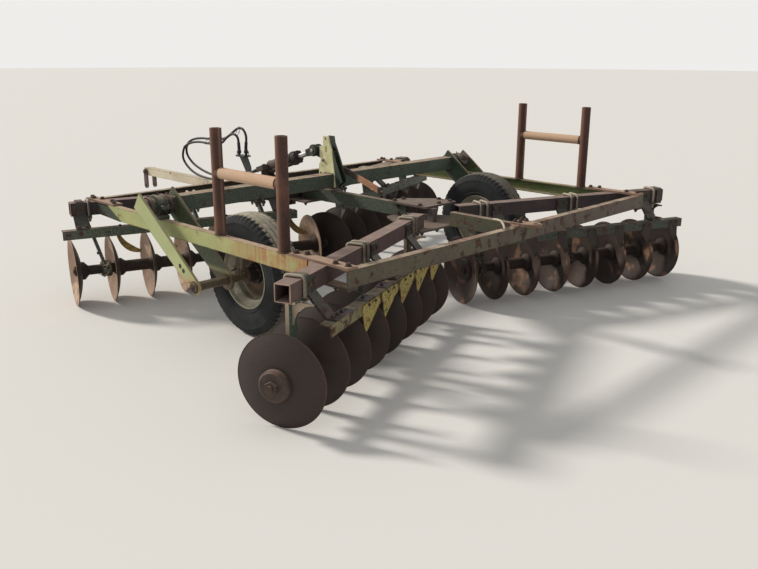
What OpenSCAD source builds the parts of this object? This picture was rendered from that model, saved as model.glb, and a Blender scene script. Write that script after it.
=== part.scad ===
/* [Frame] */
// Width of the frame over the webs of its side rails
frame_w = 2704; // [2500:4:2900]
// Distance from the front beam's web to the rear beam's web
frame_len = 2430; // [2300:5:2600]
// Height of the top of the rails above the ground
frame_top = 636; // [620:1:660]
// Height of the rails, the beams and the square gang tubes
rail_h = 82; // [76:1:90]
// Width of the channel flanges
flange_w = 44; // [36:1:60]
// Thickness of the channel webs and flanges
channel_t = 7; // [5:0.5:9]
// Gap in each side rail through which a gang tube passes, at the rear corner
rear_gap = 270; // [230:5:320]
// The same gap at the front corner
front_gap = 290; // [250:5:320]
// Width of the corner straps
strap_w = 65; // [50:1:80]
// Thickness of the straps and the centre plates
plate_t = 12; // [8:1:16]
// Width of the centre plates
centre_plate_w = 250; // [180:5:300]

/* [Gangs] */
// Distance between two discs along the gang's axle
disc_pitch = 228.6; // [210:0.1:260]
// Discs on each gang
disc_count = 8; // [6:1:8]
// Radius of a worn disc
disc_r = 216; // [190:1:225]
// Depth of the dish of a disc
dish = 52; // [35:1:65]
// Thickness of a disc
disc_t = 5; // [4:0.5:8]
// Angle of the front gangs to the direction across the machine
front_angle = 18; // [14:0.5:20]
// Angle of the rear gangs to the direction across the machine
rear_angle = 21.5; // [18:0.5:23]
// Radius of the spools between the discs
spool_r = 37; // [30:1:45]
// Radius of the flared ends of the spools
flare_r = 56; // [45:1:70]
// Half the width of the square gang tubes
tube_half = 38; // [32:1:44]
// Wall of the square gang tubes
tube_wall = 6; // [4:0.5:8]
// Radius of the journals on which the gangs turn
journal_r = 30; // [24:1:34]

/* [Lift and wheels] */
// Side of the square rockshaft
rock_side = 90; // [76:1:96]
// Height of the rockshaft's centre above the ground
rock_z = 707; // [700:1:720]
// Radius of the rockshaft's journals
rock_journal_r = 44; // [36:1:46]
// Radius of the tyres
tyre_r = 350; // [330:1:360]
// Width of the tyres
tyre_w = 184; // [160:2:210]
// Radius of the rims at the tyre bead
bead_r = 190; // [180:1:200]
// Height of the top of the mast above the rockshaft's centre
mast_h = 292; // [260:1:310]

/* [Racks] */
// Radius of the rack's pipes
post_r = 30; // [25:0.5:33]
// Height of the rack posts above the rails
post_h = 548; // [400:1:620]

/* [Drawbar] */
// Distance from the front beam to the drawbar's front end
tongue_len = 1590; // [1400:5:1700]
// Side of the drawbar's square tube
tongue_side = 64; // [56:1:90]

/* [Hoses] */
// Outer radius of the hydraulic hoses
hose_r = 9; // [7:0.5:10]

/* [Hidden] */
$fn = 48;
fit = 0.05;
seat = 0.3;

// Places fore and aft: the machine is centred on its whole length
front_web_y = 290;
rear_web_y = front_web_y - frame_len;
rear_gang_y = rear_web_y + 37;
front_gang_y = front_web_y - 127;
machine_front = front_web_y + tongue_len;
machine_back = rear_gang_y - disc_r * cos(rear_angle);
length_shift = -(machine_front + machine_back) / 2;
half_w = frame_w / 2;
frame_bottom = frame_top - rail_h;
mid_z = frame_top - rail_h / 2;

// Gangs: side, outer disc's x and y, angle, hollow side, tube's offset forwards and start,
// scraper bar's start, offset and height, first scraper
// side is -1 on the left and 1 on the right, hollow is 1 towards the inner end
front_bar_z = 2 * disc_r + 5;
rear_bar_z = 2 * disc_r - 32;
G_SIDE = 0;
G_X = 1;
G_Y = 2;
G_ANGLE = 3;
G_HOLLOW = 4;
G_TUBE_V = 5;
G_TUBE_START = 6;
G_BAR_START = 7;
G_BAR_V = 8;
G_BAR_Z = 9;
G_SCRAPER = 10;
front_left = [-1, half_w + 191, front_gang_y, -front_angle, -1, 95, 30, -45, -80, front_bar_z, 2];
front_right = [1, half_w + 311, front_gang_y, -front_angle, -1, 95, 45, -45, -80, front_bar_z, 1];
rear_left = [-1, half_w + 353, rear_gang_y, rear_angle, 1, 0, 30, 110, -185, rear_bar_z, 2];
rear_right = [1, half_w + 353, rear_gang_y, rear_angle, 1, 0, 30, -25, -185, rear_bar_z, 0];
GANGS = [front_left, front_right, rear_left, rear_right];
function last_scraper(g) = disc_count - (g[G_HOLLOW] > 0 ? 2 : 1);
dish_r = (disc_r * disc_r + dish * dish) / (2 * dish);
gang_len = (disc_count - 1) * disc_pitch;
front_slots = [0, 3, 5];
rear_slots = [0, 3, 6];
axle_bore = 15;
rear_tube_end = half_w + 288;

// Inner end of a gang's tube: a front one stops beside the middle rail
function tube_end(g) = g[G_HOLLOW] > 0 ? rear_tube_end
    : (g[G_X] - (g[G_TUBE_V] + tube_half) * sin(front_angle) - flange_w / 2 - 3) / cos(front_angle);

// Gaps between discs that hold a bearing
function slots(g) = g[G_HOLLOW] > 0 ? rear_slots : front_slots;

// Place of a bearing along the axle: near the hollow disc in front, near the round one behind
function bearing_u(g, slot) = g[G_HOLLOW] > 0 ? slot * disc_pitch - dish + 150
    : (slot + 1) * disc_pitch + dish - 80;

rock_y = -555;
rock_end_x = half_w - 102;
arm_in_x = rock_end_x - 28;
arm_out_x = half_w + 72;
arm_t = 14;
axle_y = -1050;
axle_z = tyre_r;
axle_r = 25;
spindle_r = 20;
wheel_x = half_w - 302;

mast_x = 24;
mast_t = 10;
rod_pin_y = -395;
rod_pin_z = 893;
rod_pin_r = 12.5;
tang_r = 30;
clevis_gap = 28;
clevis_ear_t = 16;
ram_pin_y = 150;
ram_pin_z = 712;

tongue_back = -125;
tongue_pin_r = 12;

// Hoses: x of each, holder and couplers, and routes whose first and last points only aim the ends
hose_xs = [-58, -90];
holder_w = 66;
holder_back = 296;
holder_front = 396;
holder_z = 796;
holder_t = 10;
coupler_len = 56;
hose_ends = [[hose_xs[0], 330], [hose_xs[1], 372]];
port_y = 163.9;
port_z = 707.4;
top_z = holder_z + coupler_len;
long_route = [for (p = [[120, 722], [port_y, port_z], [230, 685], [310, 672], [430, 650], [560, 615],
                        [690, 600], [830, 606], [960, 632], [1065, 672], [1135, 735], [1125, 805],
                        [1050, 852], [930, 875], [800, 880], [680, 886], [580, 905], [500, 945],
                        [425, 985], [360, 985], [322, 935], [hose_ends[0][1], top_z],
                        [hose_ends[0][1], top_z - 60]]) [hose_xs[0], p[0], p[1]]];
short_route = [for (p = [[120, 722], [port_y, port_z], [230, 683], [310, 668], [430, 640], [560, 600],
                         [690, 578], [830, 575], [960, 590], [1070, 630], [1145, 700], [1120, 785],
                         [1030, 830], [910, 850], [790, 850], [680, 850], [590, 870], [520, 915],
                         [445, 945], [385, 925], [hose_ends[1][1], top_z],
                         [hose_ends[1][1], top_z - 60]]) [hose_xs[1], p[0], p[1]]];

// Channel along Y with its web at x = 0 and its flanges towards +X, its top at z = 0
module channel(length) {
    translate([0, 0, -rail_h]) difference() {
        cube([flange_w, length, rail_h]);
        translate([channel_t, -1, channel_t])
            cube([flange_w, length + 2, rail_h - 2 * channel_t]);
    }
}

// Puts its children on one side of the machine: they are drawn for the left
module on_side(side) {
    mirror([side > 0 ? 1 : 0, 0, 0]) children();
}

// Whole machine's places to the part's frame
module placed() {
    translate([0, length_shift, 0]) children();
}

// Gang's own frame: X along the axle from the outer disc inwards, Y forwards
module on_gang(g) {
    placed() on_side(g[G_SIDE])
        translate([-g[G_X], g[G_Y], 0]) rotate([0, 0, g[G_ANGLE]]) children();
}

// Length over which the front end of a side rail slants up to its top flange
rail_cope = 150;
module side_rail(side) {
    rail_back = rear_web_y + rear_gap;
    rail_front = front_web_y - front_gap;
    color("darkseagreen") placed() on_side(side) translate([-half_w, rail_back, frame_top])
        difference() {
            channel(rail_front - rail_back);
            translate([-1, rail_front - rail_back, -rail_h]) rotate([0, 90, 0])
                linear_extrude(flange_w + 2)
                    polygon([[1, 1], [1, -rail_cope], [0, -rail_cope], [-rail_h + channel_t, 0],
                             [-rail_h + channel_t, 1]]);
        }
}

module front_beam() {
    color("darkseagreen") placed() translate([-half_w, front_web_y, frame_top])
        rotate([0, 0, -90]) channel(frame_w);
}

module rear_beam() {
    color("rosybrown") placed() translate([half_w, rear_web_y, frame_top])
        rotate([0, 0, 90]) channel(frame_w);
}

// Middle rail in two lengths: the rear gang tubes meet between them
module centre_rail(back, front) {
    color("darkseagreen") placed() translate([-flange_w / 2, back, frame_top])
        channel(front - back);
}

middle_back = -1260;
front_plate_back = -420;
front_plate_front = -60;
tail_front = -1613;
rear_flange_y = rear_web_y + flange_w;
front_flange_y = front_web_y - flange_w;

// Two straps, over and under the rails
module strap(x, back, front, width) {
    for (z = [frame_top, frame_bottom - plate_t])
        translate([x - width / 2, back, z]) cube([width, front - back, plate_t]);
}

rear_lap = 128;
front_lap = 60;
module corner_straps() {
    color("tan") placed() for (side = [-1, 1]) {
        x = side * (half_w - strap_w / 2);
        rail_front = front_web_y - front_gap;
        strap(x, rear_web_y, rear_web_y + rear_gap + rear_lap, strap_w);
        translate([x - strap_w / 2, rail_front - front_lap, frame_top])
            cube([strap_w, front_gap + front_lap, plate_t]);
    }
}

// Plate inside each front corner that carries the coped end of the rail to the gang tube
brace_t = 10;
brace_tip_r = 12;
// Y of the rear face of a front gang tube where the brace meets it
function tube_face(g) = g[G_Y] + (g[G_TUBE_V] - tube_half) / cos(front_angle) - seat
    - (g[G_X] - half_w + channel_t + brace_t) * tan(front_angle);
module corner_braces() {
    rail_front = front_web_y - front_gap;
    tip_y = rail_front - rail_cope + 2 * channel_t + brace_tip_r + 2;
    tip_z = frame_bottom + 6;
    color("darkslategray") placed() for (g = [front_left, front_right])
        translate([g[G_SIDE] * (half_w - channel_t - brace_t / 2), 0, 0]) rotate([90, 0, 90])
            linear_extrude(brace_t, center = true) {
                polygon([[rail_front - front_lap, frame_top - channel_t], [tube_face(g), frame_top - channel_t],
                         [tube_face(g), frame_bottom + channel_t], [tip_y, tip_z - brace_tip_r],
                         [tip_y - brace_tip_r, tip_z]]);
                translate([tip_y, tip_z]) circle(brace_tip_r);
            }
}

// Plates where the tubes meet the middle rail: the upper one spans the right tube only
rear_under_plate = [[-76, -1150], [76, -1150], [260, -1480], [260, -1600], [-260, -1600], [-260, -1480]];
rear_top_plate = [[-50, -1140], [70, -1140], [235, -1320], [235, -1450], [-50, -1450]];
spacer_back = -1480;
spacer_front = -1440;
pack_w = 120;
pack_len = 80;
module centre_plates() {
    color("tan") placed() {
        translate([0, 0, frame_top]) linear_extrude(plate_t) polygon(rear_top_plate);
        translate([0, 0, frame_bottom - plate_t]) linear_extrude(plate_t) polygon(rear_under_plate);
        translate([-flange_w / 2, spacer_back, frame_bottom])
            cube([flange_w, spacer_front - spacer_back, rail_h]);
        strap(0, front_plate_back, front_plate_front, centre_plate_w);
        // packing plate between the front beam and the drawbar
        translate([-pack_w / 2, front_web_y - pack_len, frame_bottom - plate_t])
            cube([pack_w, pack_len, plate_t]);
    }
}

bearing_w = 60;
module rockshaft_bearings() {
    foot_w = 130;
    ring_r = rock_journal_r + 16;
    color("darkslategray") placed() for (side = [-1, 1])
        translate([side * (half_w - flange_w / 2), rock_y, 0]) difference() {
            union() {
                translate([0, 0, rock_z]) rotate([0, 90, 0])
                    cylinder(r = ring_r, h = bearing_w, center = true);
                translate([-bearing_w / 2, -foot_w / 2, frame_top])
                    cube([bearing_w, foot_w, 22]);
            }
            translate([0, 0, rock_z]) rotate([0, 90, 0])
                cylinder(r = rock_journal_r + fit, h = bearing_w + 2, center = true);
        }
}

rear_hitch_bore = 14;
rear_hitch_y = 62;
module rear_hitch() {
    lug_t = 16;
    lug_front = 70;
    lug_w = 104;
    eye_r = 34;
    color("rosybrown") placed() translate([0, rear_web_y, frame_top]) linear_extrude(lug_t) difference() {
        union() {
            polygon([[-lug_w / 2, lug_front], [lug_w / 2, lug_front], [lug_w / 2, -20], [eye_r, -rear_hitch_y],
                     [-eye_r, -rear_hitch_y], [-lug_w / 2, -20]]);
            translate([0, -rear_hitch_y]) circle(eye_r);
        }
        translate([0, -rear_hitch_y]) circle(rear_hitch_bore);
    }
}

ram_pin_r = 13;
ram_eye_w = 34;
module ram_bracket() {
    ear_t = 12;
    ear_w = 70;
    ear_gap = ram_eye_w / 2 + 6;
    plate = [120, 190, plate_t];
    color("rosybrown") placed() {
        translate([-plate[0] / 2, front_web_y - plate[1], frame_top]) cube(plate);
        for (side = [-1, 1]) translate([side * (ear_gap + ear_t / 2), 0, 0]) {
            translate([-ear_t / 2, ram_pin_y - ear_w / 2, frame_top]) cube([ear_t, ear_w, ram_pin_z - frame_top]);
            translate([0, ram_pin_y, ram_pin_z]) rotate([0, 90, 0])
                cylinder(r = ear_w / 2, h = ear_t, center = true);
        }
        translate([0, ram_pin_y, ram_pin_z]) rotate([0, 90, 0])
            cylinder(r = ram_pin_r, h = 2 * (ear_gap + ear_t) + 16, center = true);
    }
}

// Square tube of a gang, in the gang's own frame
module gang_tube(g) {
    inner = tube_half - tube_wall;
    length = tube_end(g) - g[G_TUBE_START];
    color("rosybrown") on_gang(g) translate([g[G_TUBE_START], g[G_TUBE_V], mid_z]) difference() {
        translate([0, -tube_half, -rail_h / 2]) cube([length, 2 * tube_half, rail_h]);
        translate([-1, -inner, -rail_h / 2 + tube_wall])
            cube([length + 2, 2 * inner, rail_h - 2 * tube_wall]);
    }
}

// Web with a hollow curve between a rear standard and the foot over it
gusset_r = 95;
gusset_t = 10;
module gusset(face) {
    translate([0, 0, frame_bottom - foot_t]) rotate([90, 0, 90])
        linear_extrude(gusset_t, center = true) difference() {
            translate([face - gusset_r - 8, -gusset_r - 8]) square([gusset_r + 8, gusset_r + 8]);
            translate([face - gusset_r - 8, -gusset_r - 8]) circle(gusset_r);
        }
}

// Hangers from the tube to the bearings of the axle: the front ones lean out and forwards
housing_r = 50;
housing_w = 56;
foot_t = 12;
front_lean = 86;
module standards(g) {
    is_rear = g[G_HOLLOW] > 0;
    stem_w = 68;
    stem_t = 18;
    foot_u = 76;
    foot_lap = 4;
    drop = frame_bottom - foot_t - disc_r;
    lean = is_rear ? 0 : front_lean;
    color("darkseagreen") on_gang(g) for (slot = slots(g))
        translate([bearing_u(g, slot), 0, 0]) difference() {
            union() {
                translate([-foot_u / 2 - lean, g[G_TUBE_V] - tube_half - foot_lap, frame_bottom - foot_t])
                    cube([foot_u, 2 * (tube_half + foot_lap), foot_t]);
                if (is_rear) {
                    translate([-stem_w / 2, -stem_t / 2, disc_r]) cube([stem_w, stem_t, drop]);
                    gusset(-stem_t / 2);
                }
                else
                    translate([0, 0, disc_r]) rotate([0, -atan2(lean, drop), 0]) rotate([90, 0, 90])
                        linear_extrude(stem_t, center = true)
                            polygon([[-stem_w / 2, 0], [stem_w / 2, 0],
                                     [g[G_TUBE_V] + stem_w / 2, sqrt(lean * lean + drop * drop)],
                                     [g[G_TUBE_V] - stem_w / 2, sqrt(lean * lean + drop * drop)]]);
                translate([0, 0, disc_r]) rotate([0, 90, 0])
                    cylinder(r = housing_r, h = housing_w, center = true);
            }
            translate([0, 0, disc_r]) rotate([0, 90, 0])
                cylinder(r = journal_r + fit, h = housing_w + 20, center = true);
        }
}

// Angle iron behind the discs
bar_leg = 55;
bar_t = 7;
function bar_len(g) = gang_len - 120 - g[G_BAR_START];
function bar_top(g) = g[G_BAR_Z] + bar_leg;
module scraper_bar(g) {
    color("olivedrab") on_gang(g) translate([g[G_BAR_START], g[G_BAR_V], g[G_BAR_Z]]) {
        cube([bar_len(g), bar_t, bar_leg]);
        translate([0, 0, bar_leg - bar_t]) cube([bar_len(g), bar_leg, bar_t]);
    }
}

// Bent brackets from the rear face of each tube down to the upper leg of its scraper bar
bracket_w = 76;
bracket_t = 10;
// Places of the brackets along the bar: behind they keep clear of the bearings
function bracket_places(g) = g[G_HOLLOW] > 0
    ? [bearing_u(g, rear_slots[0]) + 100, bearing_u(g, rear_slots[1]) + 100, bearing_u(g, rear_slots[2]) - 100]
    : [for (share = [0.08, 0.5, 0.92]) g[G_BAR_START] + share * bar_len(g)];
module bar_brackets() {
    lap = 46;
    color("darkslategray") for (g = GANGS) {
        face = g[G_TUBE_V] - tube_half;
        top = bar_top(g);
        on_gang(g) for (u = bracket_places(g))
            translate([u - bracket_w / 2, 0, 0])
                rotate([90, 0, 90]) linear_extrude(bracket_w)
                    polygon([[face, frame_top - 8], [face, frame_bottom + 4],
                             [g[G_BAR_V] + lap + 8, top], [g[G_BAR_V] + 4, top],
                             [g[G_BAR_V] + 4, top + bracket_t], [g[G_BAR_V] + lap, top + bracket_t],
                             [face - bracket_t, frame_bottom + 10], [face - bracket_t, frame_top - 8]]);
    }
}

// Scraper of a rear disc: a plate on the bar's rear face with a pointed blade bent into the hollow
blade_t = 4;
blade_w = 70;
blade_len = 105;
blade_bend = 20;
blade_u = 12;
module rear_scraper(g) {
    back = g[G_BAR_V] - blade_t;
    low = g[G_BAR_Z];
    translate([0, back + blade_t, 0]) rotate([90, 0, 0]) linear_extrude(blade_t)
        translate([blade_u, low]) square([blade_w, bar_leg - 6]);
    translate([0, back + blade_t, low]) rotate([90 + blade_bend, 0, 0]) linear_extrude(blade_t)
        translate([blade_u, 0])
            polygon([[0, 1], [blade_w, 1], [blade_w - 6, -26], [4, -blade_len], [-10, 8 - blade_len],
                     [-10, 34 - blade_len]]);
}

// Scraper of a front disc: a leaf that curves down from the bar into the hollow
leaf_w = 46;
leaf_r = 170;
module front_scraper(g) {
    bar_low = bar_top(g) - bar_t;
    translate([-10, g[G_BAR_V] + bar_t, bar_low]) rotate([90, 0, 0]) mirror([0, 0, 1]) linear_extrude(leaf_w)
        difference() {
            intersection() {
                circle(leaf_r);
                translate([-leaf_r, -leaf_r]) square(leaf_r);
            }
            circle(leaf_r - blade_t);
        }
}

module scrapers() {
    color("goldenrod") for (g = GANGS) on_gang(g) for (i = [g[G_SCRAPER]:last_scraper(g)])
        translate([i * disc_pitch, 0, 0])
            if (g[G_HOLLOW] > 0) rear_scraper(g); else front_scraper(g);
}

// Dished blade: its rim lies in the plane x = 0 and it opens towards +X
module disc_blade() {
    translate([-dish, 0, 0]) rotate([0, 90, 0]) rotate_extrude($fn = 120) difference() {
        intersection() {
            translate([0, dish_r]) circle(dish_r, $fn = 360);
            translate([axle_bore + seat, 0]) square([disc_r - axle_bore - seat, 2 * dish]);
        }
        translate([0, dish_r]) circle(dish_r - disc_t, $fn = 360);
        translate([0, dish]) square([disc_r + 1, 2 * dish]);
    }
}

module discs(g) {
    color("sienna") on_gang(g) for (i = [0:disc_count - 1])
        translate([i * disc_pitch, 0, disc_r]) mirror([g[G_HOLLOW] > 0 ? 0 : 1, 0, 0])
            disc_blade();
}

// Spool from one disc's hollow side to the next one's round side, along +Z
module spool(is_journal) {
    flare_len = 40;
    body_r = is_journal ? journal_r : spool_r;
    rotate_extrude() difference() {
        intersection() {
            polygon([[axle_bore, 0], [flare_r, 0], [flare_r, 16], [body_r, flare_len],
                     [body_r, disc_pitch - flare_len], [flare_r, disc_pitch - 16],
                     [flare_r, disc_pitch + 10], [axle_bore, disc_pitch + 10]]);
            translate([0, dish_r]) circle(dish_r - disc_t - seat);
        }
        translate([0, disc_pitch + dish_r]) circle(dish_r + seat);
    }
}

// Axle bolt, spools and end washers of a gang, in the frame of its outer disc
end_r = 72;
end_len = 26;
end_edge = 10;
end_nut_r = 31;
end_nut_len = 18;
bolt_tail = 8;
bumper_len = 14;
bumper_r = 40;
bumper_nose_r = 24;
module end_washer(length) {
    polygon([[0, -end_r], [end_r, -end_r], [end_r, length - end_edge], [end_r - end_edge, length], [0, length]]);
}

module gang_axle(g) {
    is_in = g[G_HOLLOW] > 0;
    outer_end = end_len + end_nut_len + bolt_tail;
    inner_end = is_in ? outer_end : bumper_len;
    start = is_in ? -dish : dish;
    color("dimgray") on_gang(g) translate([start, 0, disc_r]) {
        translate([-outer_end, 0, 0]) rotate([0, 90, 0])
            cylinder(r = axle_bore, h = gang_len + outer_end + inner_end);
        for (i = [0:disc_count - 2])
            translate([(is_in ? i : i + 1) * disc_pitch, 0, 0]) rotate([0, is_in ? 90 : -90, 0])
                spool(len([for (s = slots(g)) if (s == i) s]) > 0);
        // washer on the round side of the end disc: it is a short bumper where two gangs meet
        translate([is_in ? 0 : gang_len, 0, 0]) rotate([0, is_in ? -90 : 90, 0])
            if (is_in) {
                rotate_extrude() difference() {
                    end_washer(end_len);
                    translate([0, -dish_r]) circle(dish_r + seat);
                }
                translate([0, 0, end_len]) cylinder(r = end_nut_r, h = end_nut_len, $fn = 6);
            } else
                rotate_extrude() difference() {
                    polygon([[0, -bumper_len], [bumper_r, -bumper_len], [bumper_r, bumper_len / 3],
                             [bumper_nose_r, bumper_len], [0, bumper_len]]);
                    translate([0, -dish_r]) circle(dish_r + seat);
                }
        // washer and nut in the hollow of the other end disc
        translate([is_in ? gang_len : 0, 0, 0]) rotate([0, is_in ? 90 : -90, 0]) {
            rotate_extrude() intersection() {
                end_washer(end_len);
                translate([0, dish_r]) circle(dish_r - disc_t - seat);
            }
            translate([0, 0, end_len]) cylinder(r = end_nut_r, h = end_nut_len, $fn = 6);
        }
    }
}

rack_front_y = -1160;
rack_pitch = 520;
rack_bar_z = 324;
rack_bar_r = 29;
rack_wall = 5;
module rack(side) {
    color("saddlebrown") placed() translate([side * (half_w - flange_w / 2), rack_front_y, frame_top]) {
        for (y = [0, -rack_pitch]) translate([0, y, 0]) difference() {
            cylinder(r = post_r, h = post_h);
            translate([0, 0, rack_bar_z + rack_bar_r + 20]) cylinder(r = post_r - rack_wall, h = post_h);
        }
        translate([0, 0, rack_bar_z]) rotate([90, 0, 0]) cylinder(r = rack_bar_r, h = rack_pitch);
    }
}

module rockshaft() {
    color("darkslategray") placed() translate([0, rock_y, rock_z]) {
        translate([-rock_end_x, -rock_side / 2, -rock_side / 2])
            cube([2 * rock_end_x, rock_side, rock_side]);
        for (side = [-1, 1]) translate([side * (rock_end_x + arm_out_x) / 2, 0, 0])
            rotate([0, 90, 0])
                cylinder(r = rock_journal_r, h = arm_out_x - rock_end_x, center = true);
    }
}

// Flat arm in the YZ plane from the rockshaft to the axle
out_arm_w = 108;
out_arm_r = 42;
in_arm_w = 150;
in_arm_r = 56;
axle_proud = 12;
axle_past = 60;
spindle_past = 90;
module arm_plate(top_w, low_r) {
    head = 60;
    run = axle_y - rock_y;
    fall = axle_z - rock_z;
    length = sqrt(run * run + fall * fall);
    tilt = atan2(fall, run);
    rotate([90, 0, 90]) linear_extrude(arm_t) difference() {
        rotate(tilt) union() {
            polygon([[-head, -top_w / 2], [head, -top_w / 2], [length, -low_r], [length, low_r],
                     [head, top_w / 2], [-head, top_w / 2]]);
            translate([length, 0]) circle(low_r);
        }
        children();
    }
}

module wheel_arms(side) {
    color("darkseagreen") placed() on_side(side) translate([0, rock_y, rock_z]) {
        translate([-arm_out_x - arm_t, 0, 0]) arm_plate(out_arm_w, out_arm_r);
        translate([-arm_in_x - arm_t, 0, 0]) arm_plate(in_arm_w, in_arm_r)
            square(rock_side + 2 * seat, center = true);
        translate([-arm_out_x - arm_t - axle_proud, axle_y - rock_y, axle_z - rock_z]) rotate([0, 90, 0])
            cylinder(r = axle_r, h = arm_out_x - arm_in_x + arm_t + axle_proud + axle_past);
        translate([-arm_in_x, axle_y - rock_y, axle_z - rock_z]) rotate([0, 90, 0])
            cylinder(r = spindle_r, h = arm_in_x - wheel_x + spindle_past);
    }
}

// Two plates on the rockshaft with a tang between them that takes the ram's rod
module mast() {
    foot_z = -rock_side / 2 - 6;
    slot = [12, 40];
    slot_y = 18;
    slot_drop = 104;
    pin_y = rod_pin_y - rock_y;
    pin_z = rod_pin_z - rock_z;
    tang_t = clevis_gap - 4;
    tang_root = 44;
    pin_reach = clevis_gap / 2 + clevis_ear_t + 10;
    washer_t = 5;
    tie = [2 * mast_x, 30, 60];
    tie_z = 130;
    color("darkseagreen") placed() translate([0, rock_y, rock_z]) {
        for (side = [-1, 1]) translate([side * mast_x - mast_t / 2, 0, 0])
            rotate([90, 0, 90]) linear_extrude(mast_t) difference() {
                polygon([[0, mast_h], [52, mast_h], [57, 147], [98, 100], [100, 10], [60, foot_z],
                         [-38, foot_z], [-56, foot_z + 8], [-95, -20], [-125, 0], [-75, 108],
                         [-45, 175], [-8, mast_h - 42]]);
                square(rock_side + 2 * seat, center = true);
                translate([slot_y, mast_h - slot_drop]) square(slot);
            }
        rotate([90, 0, 90]) translate([0, 0, -tang_t / 2]) linear_extrude(tang_t) {
            polygon([[0, tie_z - 10], [tang_root, tie_z - 10], [pin_y + tang_r * 0.4, pin_z - tang_r * 0.9],
                     [pin_y - tang_r * 0.3, pin_z + tang_r * 0.95], [0, tie_z + 100]]);
            translate([pin_y, pin_z]) circle(tang_r);
        }
        translate([-tie[0] / 2, -20, tie_z]) cube(tie);
        translate([0, pin_y, pin_z]) rotate([0, 90, 0]) {
            cylinder(r = rod_pin_r, h = 2 * pin_reach, center = true);
            for (side = [-1, 1]) translate([0, 0, side * (clevis_gap / 2 + clevis_ear_t + 1 + washer_t / 2)])
                cylinder(r = rod_pin_r + rod_drift + 4, h = washer_t, center = true);
        }
    }
}

// Flat bar welded to the right mast plate, lying back beside the middle rail
lock_bar_t = 14;
module lock_bar() {
    bar_w = 38;
    bar_len = 402;
    tip = 15;
    start = [-40, 87];
    slant = 197;
    color("peru") placed() translate([mast_x + mast_t / 2, rock_y + start[0], rock_z + start[1]])
        rotate([90, 0, 90]) linear_extrude(lock_bar_t) rotate(slant)
            polygon([[0, -bar_w / 2], [bar_len, -bar_w / 2], [bar_len + tip, 0], [bar_len, bar_w / 2],
                     [0, bar_w / 2]]);
}

module tyre(side) {
    half = tyre_w / 2;
    crown_r = 70;
    shoulder_r = 48;
    wall_r = 50;
    bead_in = 32;
    color("dimgray") placed() on_side(side) translate([-wheel_x, axle_y, axle_z]) rotate([0, 90, 0])
        rotate_extrude() difference() {
            union() {
                translate([bead_r, -half + bead_in]) square([tyre_r - bead_r - 14, tyre_w - 2 * bead_in]);
                translate([tyre_r - crown_r, 0]) circle(crown_r);
                for (s = [-1, 1]) translate([tyre_r - 60, s * (half - shoulder_r)]) circle(shoulder_r);
                for (s = [-1, 1]) translate([bead_r + wall_r, s * (half - wall_r)]) circle(wall_r);
            }
            translate([0, -half]) square([bead_r, tyre_w]);
            translate([tyre_r, -half]) square([60, tyre_w]);
        }
}

// Deep rim: its disc lies near the inner side and the barrel steps down to a well
rim_half = 70;
rim_lip = 8;
well_r = 150;
well_half = 20;
dish_z = 20;
hub_r = 40;
hub_out = 60;
hub_len = 130;
flange_r = 58;
flange_len = 32;
module rim(side) {
    color("beige") placed() on_side(side) translate([-wheel_x, axle_y, axle_z]) rotate([0, 90, 0])
        difference() {
            union() {
                rotate_extrude() polygon([
                    [bead_r - seat, -rim_half], [bead_r - seat, rim_half], [bead_r - rim_lip, rim_half],
                    [bead_r - rim_lip - 2, rim_half - 20], [well_r + 8, dish_z + 8], [well_r - 28, dish_z + 16],
                    [well_r - 58, dish_z + 8], [flange_r - 4, dish_z + 8], [flange_r - 4, dish_z],
                    [well_r - 60, dish_z], [well_r - 30, dish_z + 7], [well_r, dish_z - 6],
                    [well_r, -well_half], [well_r + 6, -well_half - 8], [bead_r - rim_lip - 4, 20 - rim_half],
                    [bead_r - rim_lip, -rim_half]]);
                translate([0, 0, dish_z - flange_len / 2]) cylinder(r = flange_r, h = flange_len);
                translate([0, 0, -hub_out]) cylinder(r = hub_r, h = hub_len);
            }
            translate([0, 0, -hub_out - 1]) cylinder(r = spindle_r + fit, h = hub_len + 30);
        }
}

rod_drift = 14;
ram_len = sqrt(pow(rod_pin_y - ram_pin_y, 2) + pow(rod_pin_z - ram_pin_z, 2));
ram_tilt = atan2(rod_pin_z - ram_pin_z, rod_pin_y - ram_pin_y);
barrel_r = 45;
barrel_len = 330;
rod_r = 19;

// Frame of the ram: its Z runs from the base pin to the rod pin
module on_ram() {
    placed() translate([0, ram_pin_y, ram_pin_z]) rotate([ram_tilt - 90, 0, 0]) children();
}

cylinder_bore = rod_r + 12;
port_x = 74;
port_block = [60, 34, 76];
fitting_r = hose_r + 3;
fitting_len = 14;
module ram_barrel() {
    eye_r = 28;
    base_z = 45;
    bore_z = 70;
    gland_len = 22;
    block = [62, 84, 52];
    neck = [20, 32, 26];
    neck_z = 50;
    color("black") on_ram() difference() {
        union() {
            rotate([0, 90, 0]) cylinder(r = eye_r, h = ram_eye_w, center = true);
            translate([-ram_eye_w / 2, -24, 0]) cube([ram_eye_w, 48, base_z + 15]);
            translate([0, 0, base_z]) cylinder(r = barrel_r, h = barrel_len);
            // gland block with the port on top
            translate([-block[0] / 2, -block[1] / 2, base_z + barrel_len - block[2]]) cube(block);
            // port block beside the base pin, with a fitting for each hose
            translate([-port_x - port_block[0] / 2, -port_block[1] / 2, 0]) cube(port_block);
            translate([-port_x + port_block[0] / 2 - 1, -neck[1] / 2, neck_z]) cube(neck);
            for (x = hose_xs) translate([x, 0, -fitting_len]) cylinder(r = fitting_r, h = fitting_len + 1);
        }
        rotate([0, 90, 0]) cylinder(r = ram_pin_r + fit, h = ram_eye_w + 2, center = true);
        translate([0, 0, bore_z]) cylinder(r = cylinder_bore, h = base_z + barrel_len - gland_len - bore_z);
        translate([0, 0, bore_z]) cylinder(r = rod_r + fit, h = barrel_len);
    }
}

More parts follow.
